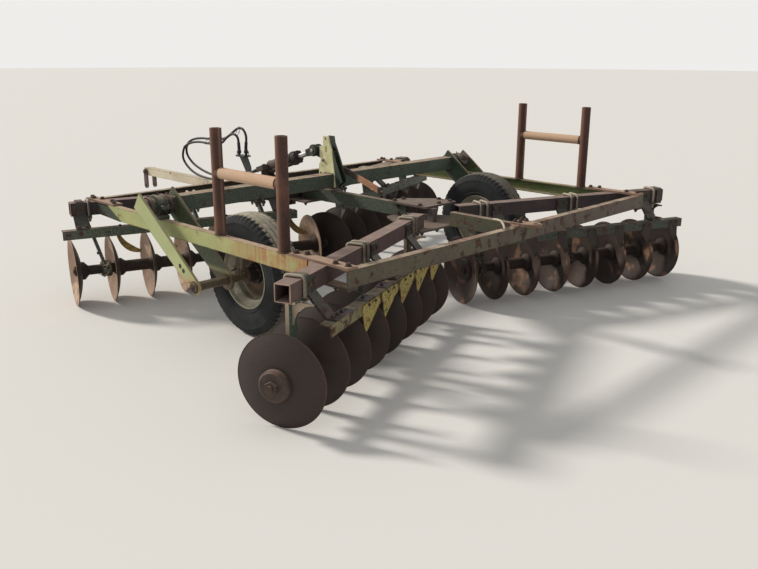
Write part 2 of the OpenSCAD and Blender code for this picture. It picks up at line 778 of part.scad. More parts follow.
// Rod with its piston and clevis: the clevis has room for the eye's drift from its pin
module ram_rod() {
    piston_z = 190;
    piston_len = 26;
    ear_r = rod_pin_r + rod_drift + 14;
    ear_w = 48;
    block_len = 28;
    block_z = ram_len - tang_r - rod_drift - 8 - block_len;
    color("silver") on_ram() {
        translate([0, 0, piston_z]) cylinder(r = rod_r, h = block_z + 5 - piston_z);
        translate([0, 0, piston_z]) cylinder(r = cylinder_bore - 0.2, h = piston_len);
        translate([-clevis_gap / 2 - clevis_ear_t, -ear_w / 2, block_z])
            cube([clevis_gap + 2 * clevis_ear_t, ear_w, block_len]);
        for (side = [-1, 1]) translate([side * (clevis_gap + clevis_ear_t) / 2, 0, 0]) difference() {
            union() {
                translate([-clevis_ear_t / 2, -ear_w / 2, block_z + block_len])
                    cube([clevis_ear_t, ear_w, ram_len - block_z - block_len]);
                translate([0, 0, ram_len]) rotate([0, 90, 0]) cylinder(r = ear_r, h = clevis_ear_t, center = true);
            }
            translate([0, 0, ram_len]) rotate([0, 90, 0])
                cylinder(r = rod_pin_r + rod_drift, h = clevis_ear_t + 2, center = true);
        }
    }
}

// Drawbar under the frame, held by the front beam and the middle rail
tongue_z = frame_bottom - plate_t - tongue_side / 2;
module drawbar() {
    wall = 6;
    inner = tongue_side - 2 * wall;
    front = front_web_y + tongue_len;
    color("wheat") placed() difference() {
        translate([-tongue_side / 2, tongue_back, tongue_z - tongue_side / 2])
            cube([tongue_side, front - tongue_back, tongue_side]);
        translate([-inner / 2, tongue_back - 1, tongue_z - inner / 2])
            cube([inner, front - tongue_back + 2, inner]);
        translate([0, front - 30, tongue_z]) rotate([0, 90, 0])
            cylinder(r = tongue_pin_r + fit, h = tongue_side + 2, center = true);
    }
}

// Double clevis that hangs from the drawbar's pin
hitch_bore = 13;
clevis_len = 120;
module hitch_clevis() {
    ear_t = 14;
    ear_r = 26;
    gap = tongue_side + 2;
    color("saddlebrown") placed() translate([0, front_web_y + tongue_len - 30, tongue_z]) {
        rotate([0, 90, 0]) cylinder(r = tongue_pin_r, h = gap + 2 * ear_t + 16, center = true);
        for (side = [-1, 1]) translate([side * (gap + ear_t) / 2, 0, 0]) rotate([0, 90, 0]) difference() {
            union() {
                translate([0, -ear_r, -ear_t / 2]) cube([clevis_len, 2 * ear_r, ear_t]);
                for (x = [0, clevis_len]) translate([x, 0, 0]) cylinder(r = ear_r, h = ear_t, center = true);
            }
            translate([clevis_len, 0, 0]) cylinder(r = hitch_bore, h = ear_t + 2, center = true);
        }
    }
}

// Bracket on the front beam in whose top plate the hose couplers stand
module hose_holder() {
    foot = [42, flange_w, 10];
    web_t = 8;
    web_x = (hose_xs[0] + hose_xs[1]) / 2;
    foot_x = -pack_w / 2 - 2;
    color("black") placed() {
        translate([foot_x - foot[0], front_web_y - foot[1], frame_top]) cube(foot);
        translate([web_x - holder_w / 2, holder_back, holder_z - holder_t])
            cube([holder_w, holder_front - holder_back, holder_t]);
        translate([web_x, 0, 0]) rotate([90, 0, 90]) linear_extrude(web_t, center = true)
            polygon([[front_web_y - foot[1] + 4, frame_top + 1], [front_web_y - 2, frame_top + 1],
                     [holder_front, holder_z - 1], [holder_back, holder_z - 1], [front_web_y - 34, frame_top + 80]]);
    }
}

// Couplers at the ends of the hoses, nose down on the holder
module hose_couplers() {
    collar = 20;
    color("sienna") placed() for (end = hose_ends) translate([end[0], end[1], holder_z])
        rotate_extrude() polygon([[0, 0], [10, 0], [10, 12], [15, 14], [15, 14 + collar], [12, 18 + collar],
                                  [12, coupler_len], [0, coupler_len]]);
}

// Tube of the hoses' radius swept along a route that stays in one plane of x
hose_sides = 10;
function curve(p, i, t) = let (a = p[i - 1], b = p[i], c = p[i + 1], d = p[i + 2])
    (2 * b + (c - a) * t + (2 * a - 5 * b + 4 * c - d) * t * t + (3 * b - a - 3 * c + d) * t * t * t) / 2;
function smooth(p, steps) = concat(
    [for (i = [1:len(p) - 3]) for (k = [0:steps - 1]) curve(p, i, k / steps)], [p[len(p) - 2]]);
module hose(route) {
    line = smooth(route, 2);
    last = len(line) - 1;
    side = [1, 0, 0];
    rings = [for (i = [0:last])
        let (before = i == 0 ? route[0] : i == last ? line[last] : line[i - 1],
             after = i == 0 ? line[0] : i == last ? route[len(route) - 1] : line[i + 1],
             up = cross((after - before) / norm(after - before), side))
        for (k = [0:hose_sides - 1])
            line[i] + hose_r * (cos(360 * k / hose_sides) * side + sin(360 * k / hose_sides) * up)];
    walls = [for (i = [0:last - 1]) for (k = [0:hose_sides - 1])
        let (a = i * hose_sides + k, b = i * hose_sides + (k + 1) % hose_sides)
        [a, b, b + hose_sides, a + hose_sides]];
    ends = [[for (k = [hose_sides - 1:-1:0]) k], [for (k = [0:hose_sides - 1]) last * hose_sides + k]];
    color("black") placed() polyhedron(rings, concat(walls, ends));
}

side_rail(-1);  // side_rail_left
side_rail(1);  // side_rail_right
front_beam();
rear_beam();
centre_rail(middle_back, front_flange_y);  // centre_rail_front
centre_rail(rear_flange_y, tail_front);  // centre_rail_rear
corner_straps();
corner_braces();
centre_plates();
rockshaft_bearings();
rear_hitch();
ram_bracket();
gang_tube(front_left);  // gang_tube_front_left
gang_tube(front_right);  // gang_tube_front_right
gang_tube(rear_left);  // gang_tube_rear_left
gang_tube(rear_right);  // gang_tube_rear_right
standards(front_left);  // standards_front_left
standards(front_right);  // standards_front_right
standards(rear_left);  // standards_rear_left
standards(rear_right);  // standards_rear_right
scraper_bar(front_left);  // scraper_bar_front_left
scraper_bar(front_right);  // scraper_bar_front_right
scraper_bar(rear_left);  // scraper_bar_rear_left
scraper_bar(rear_right);  // scraper_bar_rear_right
bar_brackets();
scrapers();
discs(front_left);  // discs_front_left
discs(front_right);  // discs_front_right
discs(rear_left);  // discs_rear_left
discs(rear_right);  // discs_rear_right
gang_axle(front_left);  // axle_front_left
gang_axle(front_right);  // axle_front_right
gang_axle(rear_left);  // axle_rear_left
gang_axle(rear_right);  // axle_rear_right
rack(-1);  // rack_left
rack(1);  // rack_right
rockshaft();
wheel_arms(-1);  // wheel_arms_left
wheel_arms(1);  // wheel_arms_right
mast();
lock_bar();
tyre(-1);  // tyre_left
tyre(1);  // tyre_right
rim(-1);  // rim_left
rim(1);  // rim_right
ram_barrel();
ram_rod();
drawbar();
hitch_clevis();
hose_holder();
hose_couplers();
hose(long_route);  // hose_long
hose(short_route);  // hose_short
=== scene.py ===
"""Looks of a towed disc harrow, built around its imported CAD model."""
import math
import random

import bmesh
import bpy
from mathutils import Matrix, Vector


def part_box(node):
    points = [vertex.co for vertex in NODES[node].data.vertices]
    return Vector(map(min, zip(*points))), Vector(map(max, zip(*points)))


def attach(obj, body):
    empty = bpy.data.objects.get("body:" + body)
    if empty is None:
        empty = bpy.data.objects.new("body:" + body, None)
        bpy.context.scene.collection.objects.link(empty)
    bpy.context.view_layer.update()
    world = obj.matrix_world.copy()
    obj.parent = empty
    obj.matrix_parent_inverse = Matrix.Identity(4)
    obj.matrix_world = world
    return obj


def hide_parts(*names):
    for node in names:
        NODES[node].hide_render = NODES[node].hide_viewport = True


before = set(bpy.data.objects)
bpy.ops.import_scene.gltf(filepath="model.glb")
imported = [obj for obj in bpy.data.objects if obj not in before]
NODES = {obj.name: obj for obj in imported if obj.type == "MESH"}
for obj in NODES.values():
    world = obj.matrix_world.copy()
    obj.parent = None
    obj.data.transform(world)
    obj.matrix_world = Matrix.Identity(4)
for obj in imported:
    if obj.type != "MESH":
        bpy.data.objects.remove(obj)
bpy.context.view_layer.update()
MM = 0.001

# Places of the machine, in millimetres, worked out from the frame where it shows them
FRONT_WEB_Y = 290
BEAM_LOW, BEAM_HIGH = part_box("front_beam")
SHIFT_Y = BEAM_HIGH.y / MM - FRONT_WEB_Y
HALF_W = BEAM_HIGH.x / MM
FRAME_TOP = BEAM_HIGH.z / MM
FRAME_BOTTOM = BEAM_LOW.z / MM
FLANGE_W = 44
STRAP_W = 65
PLATE_T = 12
TUBE_HALF = 38
MID_Z = (FRAME_TOP + FRAME_BOTTOM) / 2
DISC_PITCH = 228.6
DISC_COUNT = 8
DISC_R = 216
DISH = 52
GANG_LEN = (DISC_COUNT - 1) * DISC_PITCH
ROCK_Y = -555
ROCK_Z = 707
ROCK_HALF = 45
AXLE_Y = -1050
AXLE_Z = 350
WHEEL_X = 1050
ARM_OUT_X = 1438
HOSE_R = 9


def point(x, y, z):
    """A place on the machine in millimetres, as a vector in the frame of the part."""
    return Vector((x * MM, (y + SHIFT_Y) * MM, z * MM))


def at_y(y):
    """A place along the machine in millimetres, as Y in metres in the frame of the part."""
    return (y + SHIFT_Y) * MM


def srgb(red, green, blue):
    """A colour written as 0 to 255, as the linear colour that Blender wants."""
    def linear(value):
        value /= 255
        return value / 12.92 if value <= 0.04045 else ((value + 0.055) / 1.055) ** 2.4
    return (linear(red), linear(green), linear(blue), 1.0)


# Camera
SENSOR_W = 36
LENS = 38.26
VIEW_END = 200
EYE = Vector((-3.6686, -4.6072 + SHIFT_Y * MM, 1.5755))
AZIMUTH = math.radians(45.53)
PITCH = math.radians(16.446)
ROLL = math.radians(0.206)


def make_camera():
    forward = Vector((math.sin(AZIMUTH) * math.cos(PITCH), math.cos(AZIMUTH) * math.cos(PITCH),
                      -math.sin(PITCH)))
    right = Vector((math.cos(AZIMUTH), -math.sin(AZIMUTH), 0))
    up = right.cross(forward)
    rolled_right = math.cos(ROLL) * right + math.sin(ROLL) * up
    rolled_up = -math.sin(ROLL) * right + math.cos(ROLL) * up
    data = bpy.data.cameras.new("camera")
    data.sensor_width = SENSOR_W
    data.lens = LENS
    data.clip_end = VIEW_END
    camera = bpy.data.objects.new("camera", data)
    turn = Matrix((rolled_right, rolled_up, -forward)).transposed().to_4x4()
    camera.matrix_world = Matrix.Translation(EYE) @ turn
    bpy.context.collection.objects.link(camera)
    bpy.context.scene.camera = camera


make_camera()


# Hoses: their routes repeat the points of the part's source, as (y, z) at one x. A curve's bevel
# is one metre deep, so that the radius of a point is the hose's own.
LONG_X = -58
LONG_ROUTE = [(120, 722), (163.9, 707.4), (230, 685), (310, 672), (430, 650), (560, 615), (690, 600),
              (830, 606), (960, 632), (1065, 672), (1135, 735), (1125, 805), (1050, 852), (930, 875),
              (800, 880), (680, 886), (580, 905), (500, 945), (425, 985), (360, 985), (322, 935),
              (330, 852), (330, 792)]
SHORT_X = -90
SHORT_ROUTE = [(120, 722), (163.9, 707.4), (230, 683), (310, 668), (430, 640), (560, 600), (690, 578),
               (830, 575), (960, 590), (1070, 630), (1145, 700), (1120, 785), (1030, 830), (910, 850),
               (790, 850), (680, 850), (590, 870), (520, 915), (445, 945), (385, 925), (372, 852),
               (372, 792)]
HOSE_STEPS = 6
CURVE_BEVEL = 1.0


def smooth_route(x, route, steps):
    """Points of a smooth curve from the second to the last but one of the given points."""
    points = [point(x, y, z) for y, z in route]
    made = []
    for a, b, c, d in zip(points, points[1:], points[2:], points[3:]):
        for i in range(steps):
            t = i / steps
            made.append((2 * b + (c - a) * t + (2 * a - 5 * b + 4 * c - d) * t * t
                         + (3 * b - a - 3 * c + d) * t ** 3) / 2)
    return made + [points[-2]]


def make_hose(name, node, x, route):
    """A hose as a curve that follows its route; its looks are set further on."""
    line = smooth_route(x, route, HOSE_STEPS)
    data = bpy.data.curves.new(name, "CURVE")
    data.dimensions = "3D"
    data.bevel_depth = CURVE_BEVEL
    data.bevel_resolution = 4
    data.use_fill_caps = True
    spline = data.splines.new("POLY")
    spline.points.add(len(line) - 1)
    for spot, place in zip(spline.points, line):
        spot.co = (*place, 1.0)
        spot.radius = HOSE_R * MM
    hose = bpy.data.objects.new(name, data)
    bpy.context.collection.objects.link(hose)
    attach(hose, "frame")
    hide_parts(node)
    return hose


HOSES = [make_hose("hydraulic_hose_long", "hose_long", LONG_X, LONG_ROUTE),
         make_hose("hydraulic_hose_short", "hose_short", SHORT_X, SHORT_ROUTE)]


# Shader graphs
class Graph:
    """A new material and short calls that add and link its nodes."""

    def __init__(self, name):
        self.material = bpy.data.materials.new(name)
        self.material.use_nodes = True
        self.tree = self.material.node_tree
        self.shader = next(n for n in self.tree.nodes if n.type == "BSDF_PRINCIPLED")
        self.place = self.node("ShaderNodeTexCoord")

    def node(self, kind, **settings):
        made = self.tree.nodes.new(kind)
        for key, value in settings.items():
            setattr(made, key, value)
        return made

    def put(self, socket, value):
        """Links a socket, or sets a constant. Colours may be three numbers from 0 to 255."""
        if isinstance(value, bpy.types.NodeSocket):
            self.tree.links.new(value, socket)
        elif socket.type == "RGBA" and len(value) == 3:
            socket.default_value = srgb(*value)
        else:
            socket.default_value = value

    def stretched(self, scale):
        mapping = self.node("ShaderNodeMapping")
        self.put(mapping.inputs["Vector"], self.place.outputs["Object"])
        mapping.inputs["Scale"].default_value = scale
        return mapping.outputs["Vector"]

    def noise(self, scale, detail=4.0, roughness=0.6, vector=None, offset=0.0):
        made = self.node("ShaderNodeTexNoise", noise_dimensions="4D")
        self.put(made.inputs["Vector"], vector or self.place.outputs["Object"])
        for key, value in (("Scale", scale), ("Detail", detail), ("Roughness", roughness), ("W", offset)):
            made.inputs[key].default_value = value
        return made.outputs["Fac"]

    def step(self, value, low, high, to_low=0.0, to_high=1.0):
        made = self.node("ShaderNodeMapRange", interpolation_type="SMOOTHSTEP")
        self.put(made.inputs["Value"], value)
        for key, edge in (("From Min", low), ("From Max", high), ("To Min", to_low), ("To Max", to_high)):
            made.inputs[key].default_value = edge
        return made.outputs["Result"]

    def math(self, operation, a, b=0.0):
        made = self.node("ShaderNodeMath", operation=operation)
        self.put(made.inputs[0], a)
        self.put(made.inputs[1], b)
        return made.outputs[0]

    def times(self, first, *others):
        for other in others:
            first = self.math("MULTIPLY", first, other)
        return first

    def weighted(self, a, share_a, b, share_b):
        return self.math("ADD", self.times(a, share_a), self.times(b, share_b))

    def vector(self, operation, a, b=None):
        made = self.node("ShaderNodeVectorMath", operation=operation)
        self.put(made.inputs[0], a)
        if b is not None:
            self.put(made.inputs[1], tuple(b) if isinstance(b, Vector) else b)
        return made.outputs["Value" if operation in ("DOT_PRODUCT", "LENGTH") else "Vector"]

    def mix(self, factor, a, b):
        made = self.node("ShaderNodeMix", data_type="RGBA")
        self.put(made.inputs[0], factor)
        self.put(made.inputs[6], a)
        self.put(made.inputs[7], b)
        return made.outputs[2]

    def blend(self, value, low, high, a, b, most=1.0):
        """From a to b where a value rises from low to high, or a part of the way."""
        return self.mix(self.step(value, low, high, 0.0, most), a, b)

    def edges(self, radius, low=0.01, high=0.16):
        """1 along the sharp edges of a piece, 0 on its faces."""
        bevel = self.node("ShaderNodeBevel", samples=6)
        bevel.inputs["Radius"].default_value = radius
        geometry = self.node("ShaderNodeNewGeometry")
        same = self.vector("DOT_PRODUCT", bevel.outputs["Normal"], geometry.outputs["True Normal"])
        return self.step(self.math("SUBTRACT", 1.0, same), low, high)

    def along(self, direction, low, high, to_low=0.0, to_high=1.0):
        """Steps up along a direction in the part's frame, between two places in metres."""
        distance = self.vector("DOT_PRODUCT", self.place.outputs["Object"], direction)
        return self.step(distance, low, high, to_low, to_high)

    def faces(self, direction, low, high):
        """1 where the surface faces a direction."""
        return self.step(self.vector("DOT_PRODUCT", self.place.outputs["Normal"], direction), low, high)

    def finish(self, colour, roughness, height=None, depth=0.001, metallic=0.0, specular=0.4):
        self.put(self.shader.inputs["Base Color"], colour)
        self.put(self.shader.inputs["Roughness"], roughness)
        self.put(self.shader.inputs["Metallic"], metallic)
        self.shader.inputs["Specular IOR Level"].default_value = specular
        if height is not None:
            bump = self.node("ShaderNodeBump")
            bump.inputs["Distance"].default_value = depth
            bump.inputs["Strength"].default_value = 1.0
            self.put(bump.inputs["Height"], height)
            self.put(self.shader.inputs["Normal"], bump.outputs["Normal"])
        return self.material


RUST_DARK = (66, 44, 37)
RUST_MID = (112, 76, 60)
RUST_PINK = (158, 130, 114)
RUST_ORANGE = (158, 100, 64)
DUST = (178, 162, 140)
X_AXIS = (1, 0, 0)
Y_AXIS = (0, 1, 0)
REARWARDS = (0, -1, 0)
UP = (0, 0, 1)
DOWN = (0, 0, -1)


def add_zones(g, colour, zones, fine):
    """Lays each zone's colour where all its stretches hold, a little worn by the fine noise."""
    for zone_colour, stretches in zones:
        share = g.times(g.step(fine, 0.2, 0.6, 1.0, 0.8), *(g.along(*stretch) for stretch in stretches))
        colour = g.mix(share, colour, zone_colour)
    return colour


def paint(name, light, dark, top=0.9, patches=0.5, edge=0.8, streaks=0.4, rust=RUST_MID,
          top_rust=RUST_PINK, stain=None, stain_colour=RUST_ORANGE, zones=(), side=None, dust=0.3):
    """Faded paint: rust on the upper faces, along the edges, in patches and in streaks.

    stain is a direction and the two places along it, in metres, between which rust takes over. A
    zone is a colour and some such stretches, all of which it needs. side is a direction and the
    colour painted as sunlight on the faces that look that way."""
    g = Graph(name)
    broad = g.noise(3.1, 3.0)
    patchy = g.noise(13.0, 6.0, 0.68, offset=1.7)
    fine = g.noise(90.0, 5.0, 0.7, offset=4.1)
    colour = g.blend(broad, 0.36, 0.64, light, dark)
    colour = g.blend(g.noise(42.0, offset=5.5), 0.4, 0.7, colour, dark, 0.35)
    colour = g.blend(fine, 0.35, 0.75, colour, DUST, dust)
    rusty = g.blend(g.noise(24.0, offset=2.2), 0.35, 0.65, rust, RUST_DARK)
    rusty = g.blend(fine, 0.5, 0.72, rusty, RUST_ORANGE, 0.6)
    spots = g.step(patchy, 0.66 - 0.2 * patches, 0.72 - 0.2 * patches)
    chips = g.step(fine, 0.74 - 0.1 * patches, 0.78 - 0.1 * patches)
    lines = g.noise(1.0, 5.0, 0.72, g.stretched((62.0, 62.0, 3.5)))
    run = g.step(lines, 0.58, 0.74, 0.0, streaks)
    worn_edge = g.times(g.edges(0.009), g.step(patchy, 0.3, 0.52, 0.0, edge))
    mask = g.math("MAXIMUM", g.math("MAXIMUM", spots, chips), g.math("MAXIMUM", run, worn_edge))
    if stain:
        soaked = g.step(g.weighted(lines, 0.55, patchy, 0.7), 0.5, 0.72, 0.1, 0.95)
        colour = g.mix(g.times(g.along(*stain), soaked), colour, stain_colour)
    colour = add_zones(g, colour, zones, fine)
    colour = g.mix(mask, colour, rusty)
    worn_top = g.times(g.faces(UP, 0.55, 0.9), g.step(patchy, 0.22, 0.5, top * 0.75, top))
    pink = g.blend(broad, 0.4, 0.62, top_rust, DUST)
    pink = g.blend(patchy, 0.45, 0.66, pink, rust, 0.7)
    colour = g.mix(worn_top, colour, pink)
    bare = g.math("MAXIMUM", mask, worn_top)
    # Painted sunlight: faces that look along the side's direction turn to its pale colour.
    if side:
        direction, painted_sunlit_colour = side
        facing = g.times(g.faces(direction, 0.96, 0.99), g.step(patchy, 0.3, 0.66, 1.0, 0.6))
        colour = g.mix(facing, colour, painted_sunlit_colour)
    roughness = g.step(bare, 0.0, 1.0, 0.5, 0.86)
    return g.finish(colour, roughness, g.weighted(bare, -0.5, fine, 0.9), 0.0007)


def bare_rust(name, dark, mid, light, top=0.75, top_colour=RUST_PINK, lit_side=None, zones=()):
    """Bare steel with an even coat of rust, paler and dusty on its upper faces, and paler on the faces
    towards lit_side as painted sunlight.
    """
    g = Graph(name)
    broad = g.noise(4.3, offset=0.6)
    patchy = g.noise(19.0, 6.0, 0.7, offset=3.3)
    fine = g.noise(140.0, 4.0, 0.7, offset=7.0)
    colour = g.blend(patchy, 0.34, 0.66, dark, mid)
    colour = g.blend(fine, 0.46, 0.74, colour, light, 0.3)
    colour = g.blend(broad, 0.5, 0.75, colour, light, 0.45)
    worn_edge = g.times(g.edges(0.006), g.step(patchy, 0.35, 0.6, 0.1, 0.6))
    colour = g.mix(worn_edge, colour, light)
    # Painted sunlight: faces towards lit_side turn halfway to the light tone.
    if lit_side:
        colour = g.mix(g.times(g.faces(lit_side, 0.1, 0.9), 0.5), colour, light)
    colour = add_zones(g, colour, zones, fine)
    topped = g.times(g.faces(UP, 0.5, 0.92), g.step(patchy, 0.25, 0.6, top, top * 0.55))
    colour = g.mix(topped, colour, top_colour)
    roughness = g.step(patchy, 0.3, 0.7, 0.68, 0.88)
    return g.finish(colour, roughness, g.weighted(patchy, 0.6, fine, 0.35), 0.0008)


def plain_iron(name, colour, speck, rough=0.6, metallic=0.0):
    """Small dark fittings: one tone with grease and dust in specks."""
    g = Graph(name)
    fine = g.noise(120.0, 4.0, 0.7)
    tone = g.blend(fine, 0.45, 0.7, colour, speck, 0.8)
    tone = g.blend(g.noise(9.0, 3.0, offset=2.0), 0.52, 0.72, tone, speck, 0.5)
    return g.finish(tone, g.step(fine, 0.3, 0.7, rough - 0.12, rough + 0.15), fine, 0.0005, metallic)


class Gang:
    """A gang of discs, and its frame in metres: X along its axle inwards, Y forwards, Z up.

    Its numbers are its side, the X of its outer disc, the start of its scraper bar and the first
    disc with a scraper. Its tones are the dark and mid rust colours inside its discs, set paler on
    the sunlit front left gang and darker on the shaded gangs as painted light and shade, and a pale
    tone laid in blotches as painted sunlit patches. The discs of the front gangs are hollow
    outwards and those of the rear ones inwards."""

    def __init__(self, name, side, disc_x, bar_start, first, *tones):
        self.name, self.side, self.bar_start, self.first, self.tones = name, side, bar_start, first, tones
        self.is_rear = name.startswith("rear")
        y, angle = (-2103, 21.5) if self.is_rear else (163, -18.0)
        self.hollow = 1.0 if self.is_rear else -1.0
        self.slots = (0, 3, 6) if self.is_rear else (0, 3, 5)
        self.tube_v = 0 if self.is_rear else 95
        self.bar_v, self.bar_z = (-185, 400) if self.is_rear else (-80, 437)
        self.bar_top = self.bar_z + BAR_LEG
        self.lean = 0 if self.is_rear else FRONT_LEAN
        turn = math.radians(angle)
        along = Vector((-side * math.cos(turn), math.sin(turn), 0))
        across = Vector((side * math.sin(turn), math.cos(turn), 0))
        axes = Matrix((along, across, Vector(UP))).transposed().to_4x4()
        self.matrix = Matrix.Translation(point(side * disc_x, y, 0)) @ axes
        self.along = self.matrix.col[0].to_3d()
        self.bar_len = GANG_LEN - BAR_SHORT - bar_start
        self.scrapers = range(first, DISC_COUNT - (1 if self.is_rear else 0))

    def at(self, u, v, z):
        """A place in the gang's frame in millimetres, as a vector in the frame of the part."""
        return self.matrix @ (Vector((u, v, z)) * MM)

    def way(self, u, v, z):
        return self.matrix.to_3x3() @ Vector((u, v, z))

    def bearing(self, slot):
        """Middle along the axle of the bearing between two discs."""
        return slot * DISC_PITCH - DISH + 150 if self.is_rear else (slot + 1) * DISC_PITCH + DISH - 80

    def brackets(self):
        """Places along the axle of the brackets that hold the scraper bar."""
        if self.is_rear:
            return [self.bearing(slot) + d for slot, d in zip(self.slots, (100, 100, -100))]
        return [self.bar_start + share * self.bar_len for share in (0.08, 0.5, 0.92)]

    def stretch(self, start, end):
        """A stretch along the axle, as a stain of paint()."""
        origin = self.matrix.translation.dot(self.along)
        return self.along, origin + start * MM, origin + end * MM


# Sizes of the gangs' fittings in the part
BAR_LEG = 55
BAR_T = 7
BAR_SHORT = 120
FRONT_LEAN = 86
# Each gang's disc tones hold painted light and shade, pale on the sunlit front left gang and darkest on the
# shaded rear right one; the third tone is for painted sunlit patches.
GANGS = [
    Gang("front_left", -1, 1543, -45, 2, (128, 102, 84), (164, 136, 112), (206, 176, 148)),
    Gang("front_right", 1, 1663, -45, 1, (84, 64, 54), (116, 88, 72), (160, 124, 98)),
    Gang("rear_left", -1, 1705, 110, 2, (66, 50, 42), (96, 72, 58), (150, 112, 86)),
    Gang("rear_right", 1, 1705, -25, 0, (50, 40, 36), (70, 54, 46), (146, 110, 86)),
]
FRONT_LEFT, FRONT_RIGHT, REAR_LEFT = GANGS[:3]


def disc_metal(gang):
    """Dished steel: rust rings about the axle, a worn paler rim, orange rust in the hollow with its gang's
    painted light and shade, and painted sunlit patches.
    """
    g = Graph("disc_" + gang.name)
    centre = gang.matrix @ Vector((0, 0, DISC_R * MM))
    from_axle = g.vector("SUBTRACT", g.place.outputs["Object"], centre)
    scaled = g.node("ShaderNodeVectorMath", operation="SCALE")
    scaled.inputs[0].default_value = tuple(gang.along)
    g.put(scaled.inputs["Scale"], g.vector("DOT_PRODUCT", from_axle, gang.along))
    radius = g.vector("LENGTH", g.vector("SUBTRACT", from_axle, scaled.outputs[0]))
    rings = g.node("ShaderNodeTexNoise", noise_dimensions="1D")
    g.put(rings.inputs["W"], g.times(radius, 160.0))
    rings.inputs["Scale"].default_value = 1.0
    rings = rings.outputs["Fac"]
    patchy = g.noise(11.0, 6.0, 0.68, offset=1.3)
    fine = g.noise(130.0, 4.0, 0.7, offset=5.0)
    dark = g.blend(patchy, 0.34, 0.66, (44, 36, 34), (60, 48, 44))
    dark = g.blend(rings, 0.4, 0.7, dark, (76, 62, 56), 0.12)
    dark = g.blend(fine, 0.5, 0.75, dark, (88, 66, 56), 0.3)
    dark = g.blend(g.noise(5.0, 5.0, 0.7, offset=9.0), 0.56, 0.7, dark, (78, 52, 44), 0.5)
    inside = g.times(g.vector("DOT_PRODUCT", g.place.outputs["Normal"], gang.along), gang.hollow)
    low_tone, mid_tone, sunlit_patch_tone = gang.tones
    hollow = g.blend(patchy, 0.3, 0.68, low_tone, mid_tone)
    # Painted sunlit patches: blotches of the gang's third tone in the hollow.
    hollow = g.blend(g.noise(8.0, 2.5, 0.5, offset=6.0), 0.54, 0.66, hollow, sunlit_patch_tone, 0.75)
    hollow = g.blend(rings, 0.4, 0.75, hollow, low_tone, 0.15)
    colour = g.blend(inside, 0.2, 0.5, dark, hollow)
    colour = g.blend(radius, DISC_R * MM - 0.007, DISC_R * MM - 0.002, colour, (122, 92, 76), 0.45)
    colour = g.mix(g.step(radius, 0.074, 0.092, 0.6, 0.0), colour, (40, 31, 28))
    height = g.weighted(rings, 0.25, fine, 0.4)
    return g.finish(colour, g.step(patchy, 0.3, 0.7, 0.5, 0.75), height, 0.0004, 0.1)


def from_wheel_axle(g):
    """Distance of a shaded place from the wheels' axle, in metres."""
    away = g.vector("SUBTRACT", g.place.outputs["Object"], point(0, AXLE_Y, AXLE_Z))
    return g.vector("LENGTH", g.vector("MULTIPLY", away, (0.0, 1.0, 1.0)))


# Radii of the tread's grooves and ribs, and heights between which its dust and painted sunlight grow, in
# metres
TREAD_LOW, TREAD_HIGH = 0.336, 0.345
DUST_AND_SUNLIGHT_LOW, DUST_AND_SUNLIGHT_HIGH = 0.38, 0.56


def tyre_rubber(name):
    """Weathered rubber, with pale dust on the ribs of the tread that grows towards the top as painted
    sunlight, leaving the low tread dark as painted shade, and more of it on the left wheel.
    """
    g = Graph(name)
    patchy = g.noise(9.0, 6.0, 0.7)
    fine = g.noise(160.0, 4.0, 0.7, offset=3.0)
    colour = g.blend(patchy, 0.35, 0.65, (28, 30, 33), (43, 44, 46))
    # Pale dust on the ribs, heavier towards the top as painted sunlight so that the lower tread stays dark
    # as painted shade; the left wheel gets more of it.
    dusty = g.times(g.step(from_wheel_axle(g), TREAD_LOW, TREAD_HIGH), g.step(patchy, 0.3, 0.62, 0.7, 1.0),
                    g.along(X_AXIS, -0.5, 0.5, 1.0, 0.35), g.along(UP, DUST_AND_SUNLIGHT_LOW, DUST_AND_SUNLIGHT_HIGH, 0.3, 1.0))
    colour = g.mix(dusty, colour, (182, 174, 156))
    colour = g.blend(fine, 0.55, 0.75, colour, (112, 108, 100), 0.35)
    return g.finish(colour, g.step(fine, 0.3, 0.7, 0.72, 0.92), fine, 0.0006, specular=0.25)


# Radii between which a rim's dish turns into its barrel, and the hub into the dish, in metres
BARREL_RADII = 0.128, 0.15
HUB_RADII = 0.058, 0.064


def wheel_rim_paint(name):
    """Cream barrel set dark as painted shade, with patches of near white and of dark grey, and a rusty
    brown dish about a black hub.
    """
    g = Graph(name)
    radius = from_wheel_axle(g)
    patchy = g.noise(15.0, 6.0, 0.7, offset=2.0)
    fine = g.noise(110.0, 5.0, 0.7, offset=4.0)
    # The cream is kept dark on the barrel as painted shade.
    cream = g.blend(g.noise(5.0, 3.0), 0.35, 0.65, (172, 168, 150), (134, 128, 112))
    cream = g.blend(patchy, 0.58, 0.64, cream, (222, 216, 198))
    cream = g.blend(patchy, 0.42, 0.36, cream, (84, 78, 70), 0.8)
    cream = g.blend(fine, 0.6, 0.66, cream, (104, 80, 62), 0.8)
    rust = g.blend(patchy, 0.34, 0.66, (70, 58, 48), (102, 84, 66))
    rust = g.blend(fine, 0.55, 0.7, rust, (130, 106, 80), 0.5)
    colour = g.blend(radius, *BARREL_RADII, rust, cream)
    colour = g.blend(radius, *HUB_RADII, (40, 36, 34), colour)
    return g.finish(colour, g.step(fine, 0.3, 0.7, 0.55, 0.85), fine, 0.0007)


# Line on the mast's side between its painted shade at the rear and its painted sunlit strip at the front,
# with the strip's end
MAST_SLOPE = (0.0, 0.988, -0.157)
MAST_LINE = at_y(-572) * MAST_SLOPE[1] + 1.008 * MAST_SLOPE[2]
STRIP_END = at_y(-452), at_y(-440)


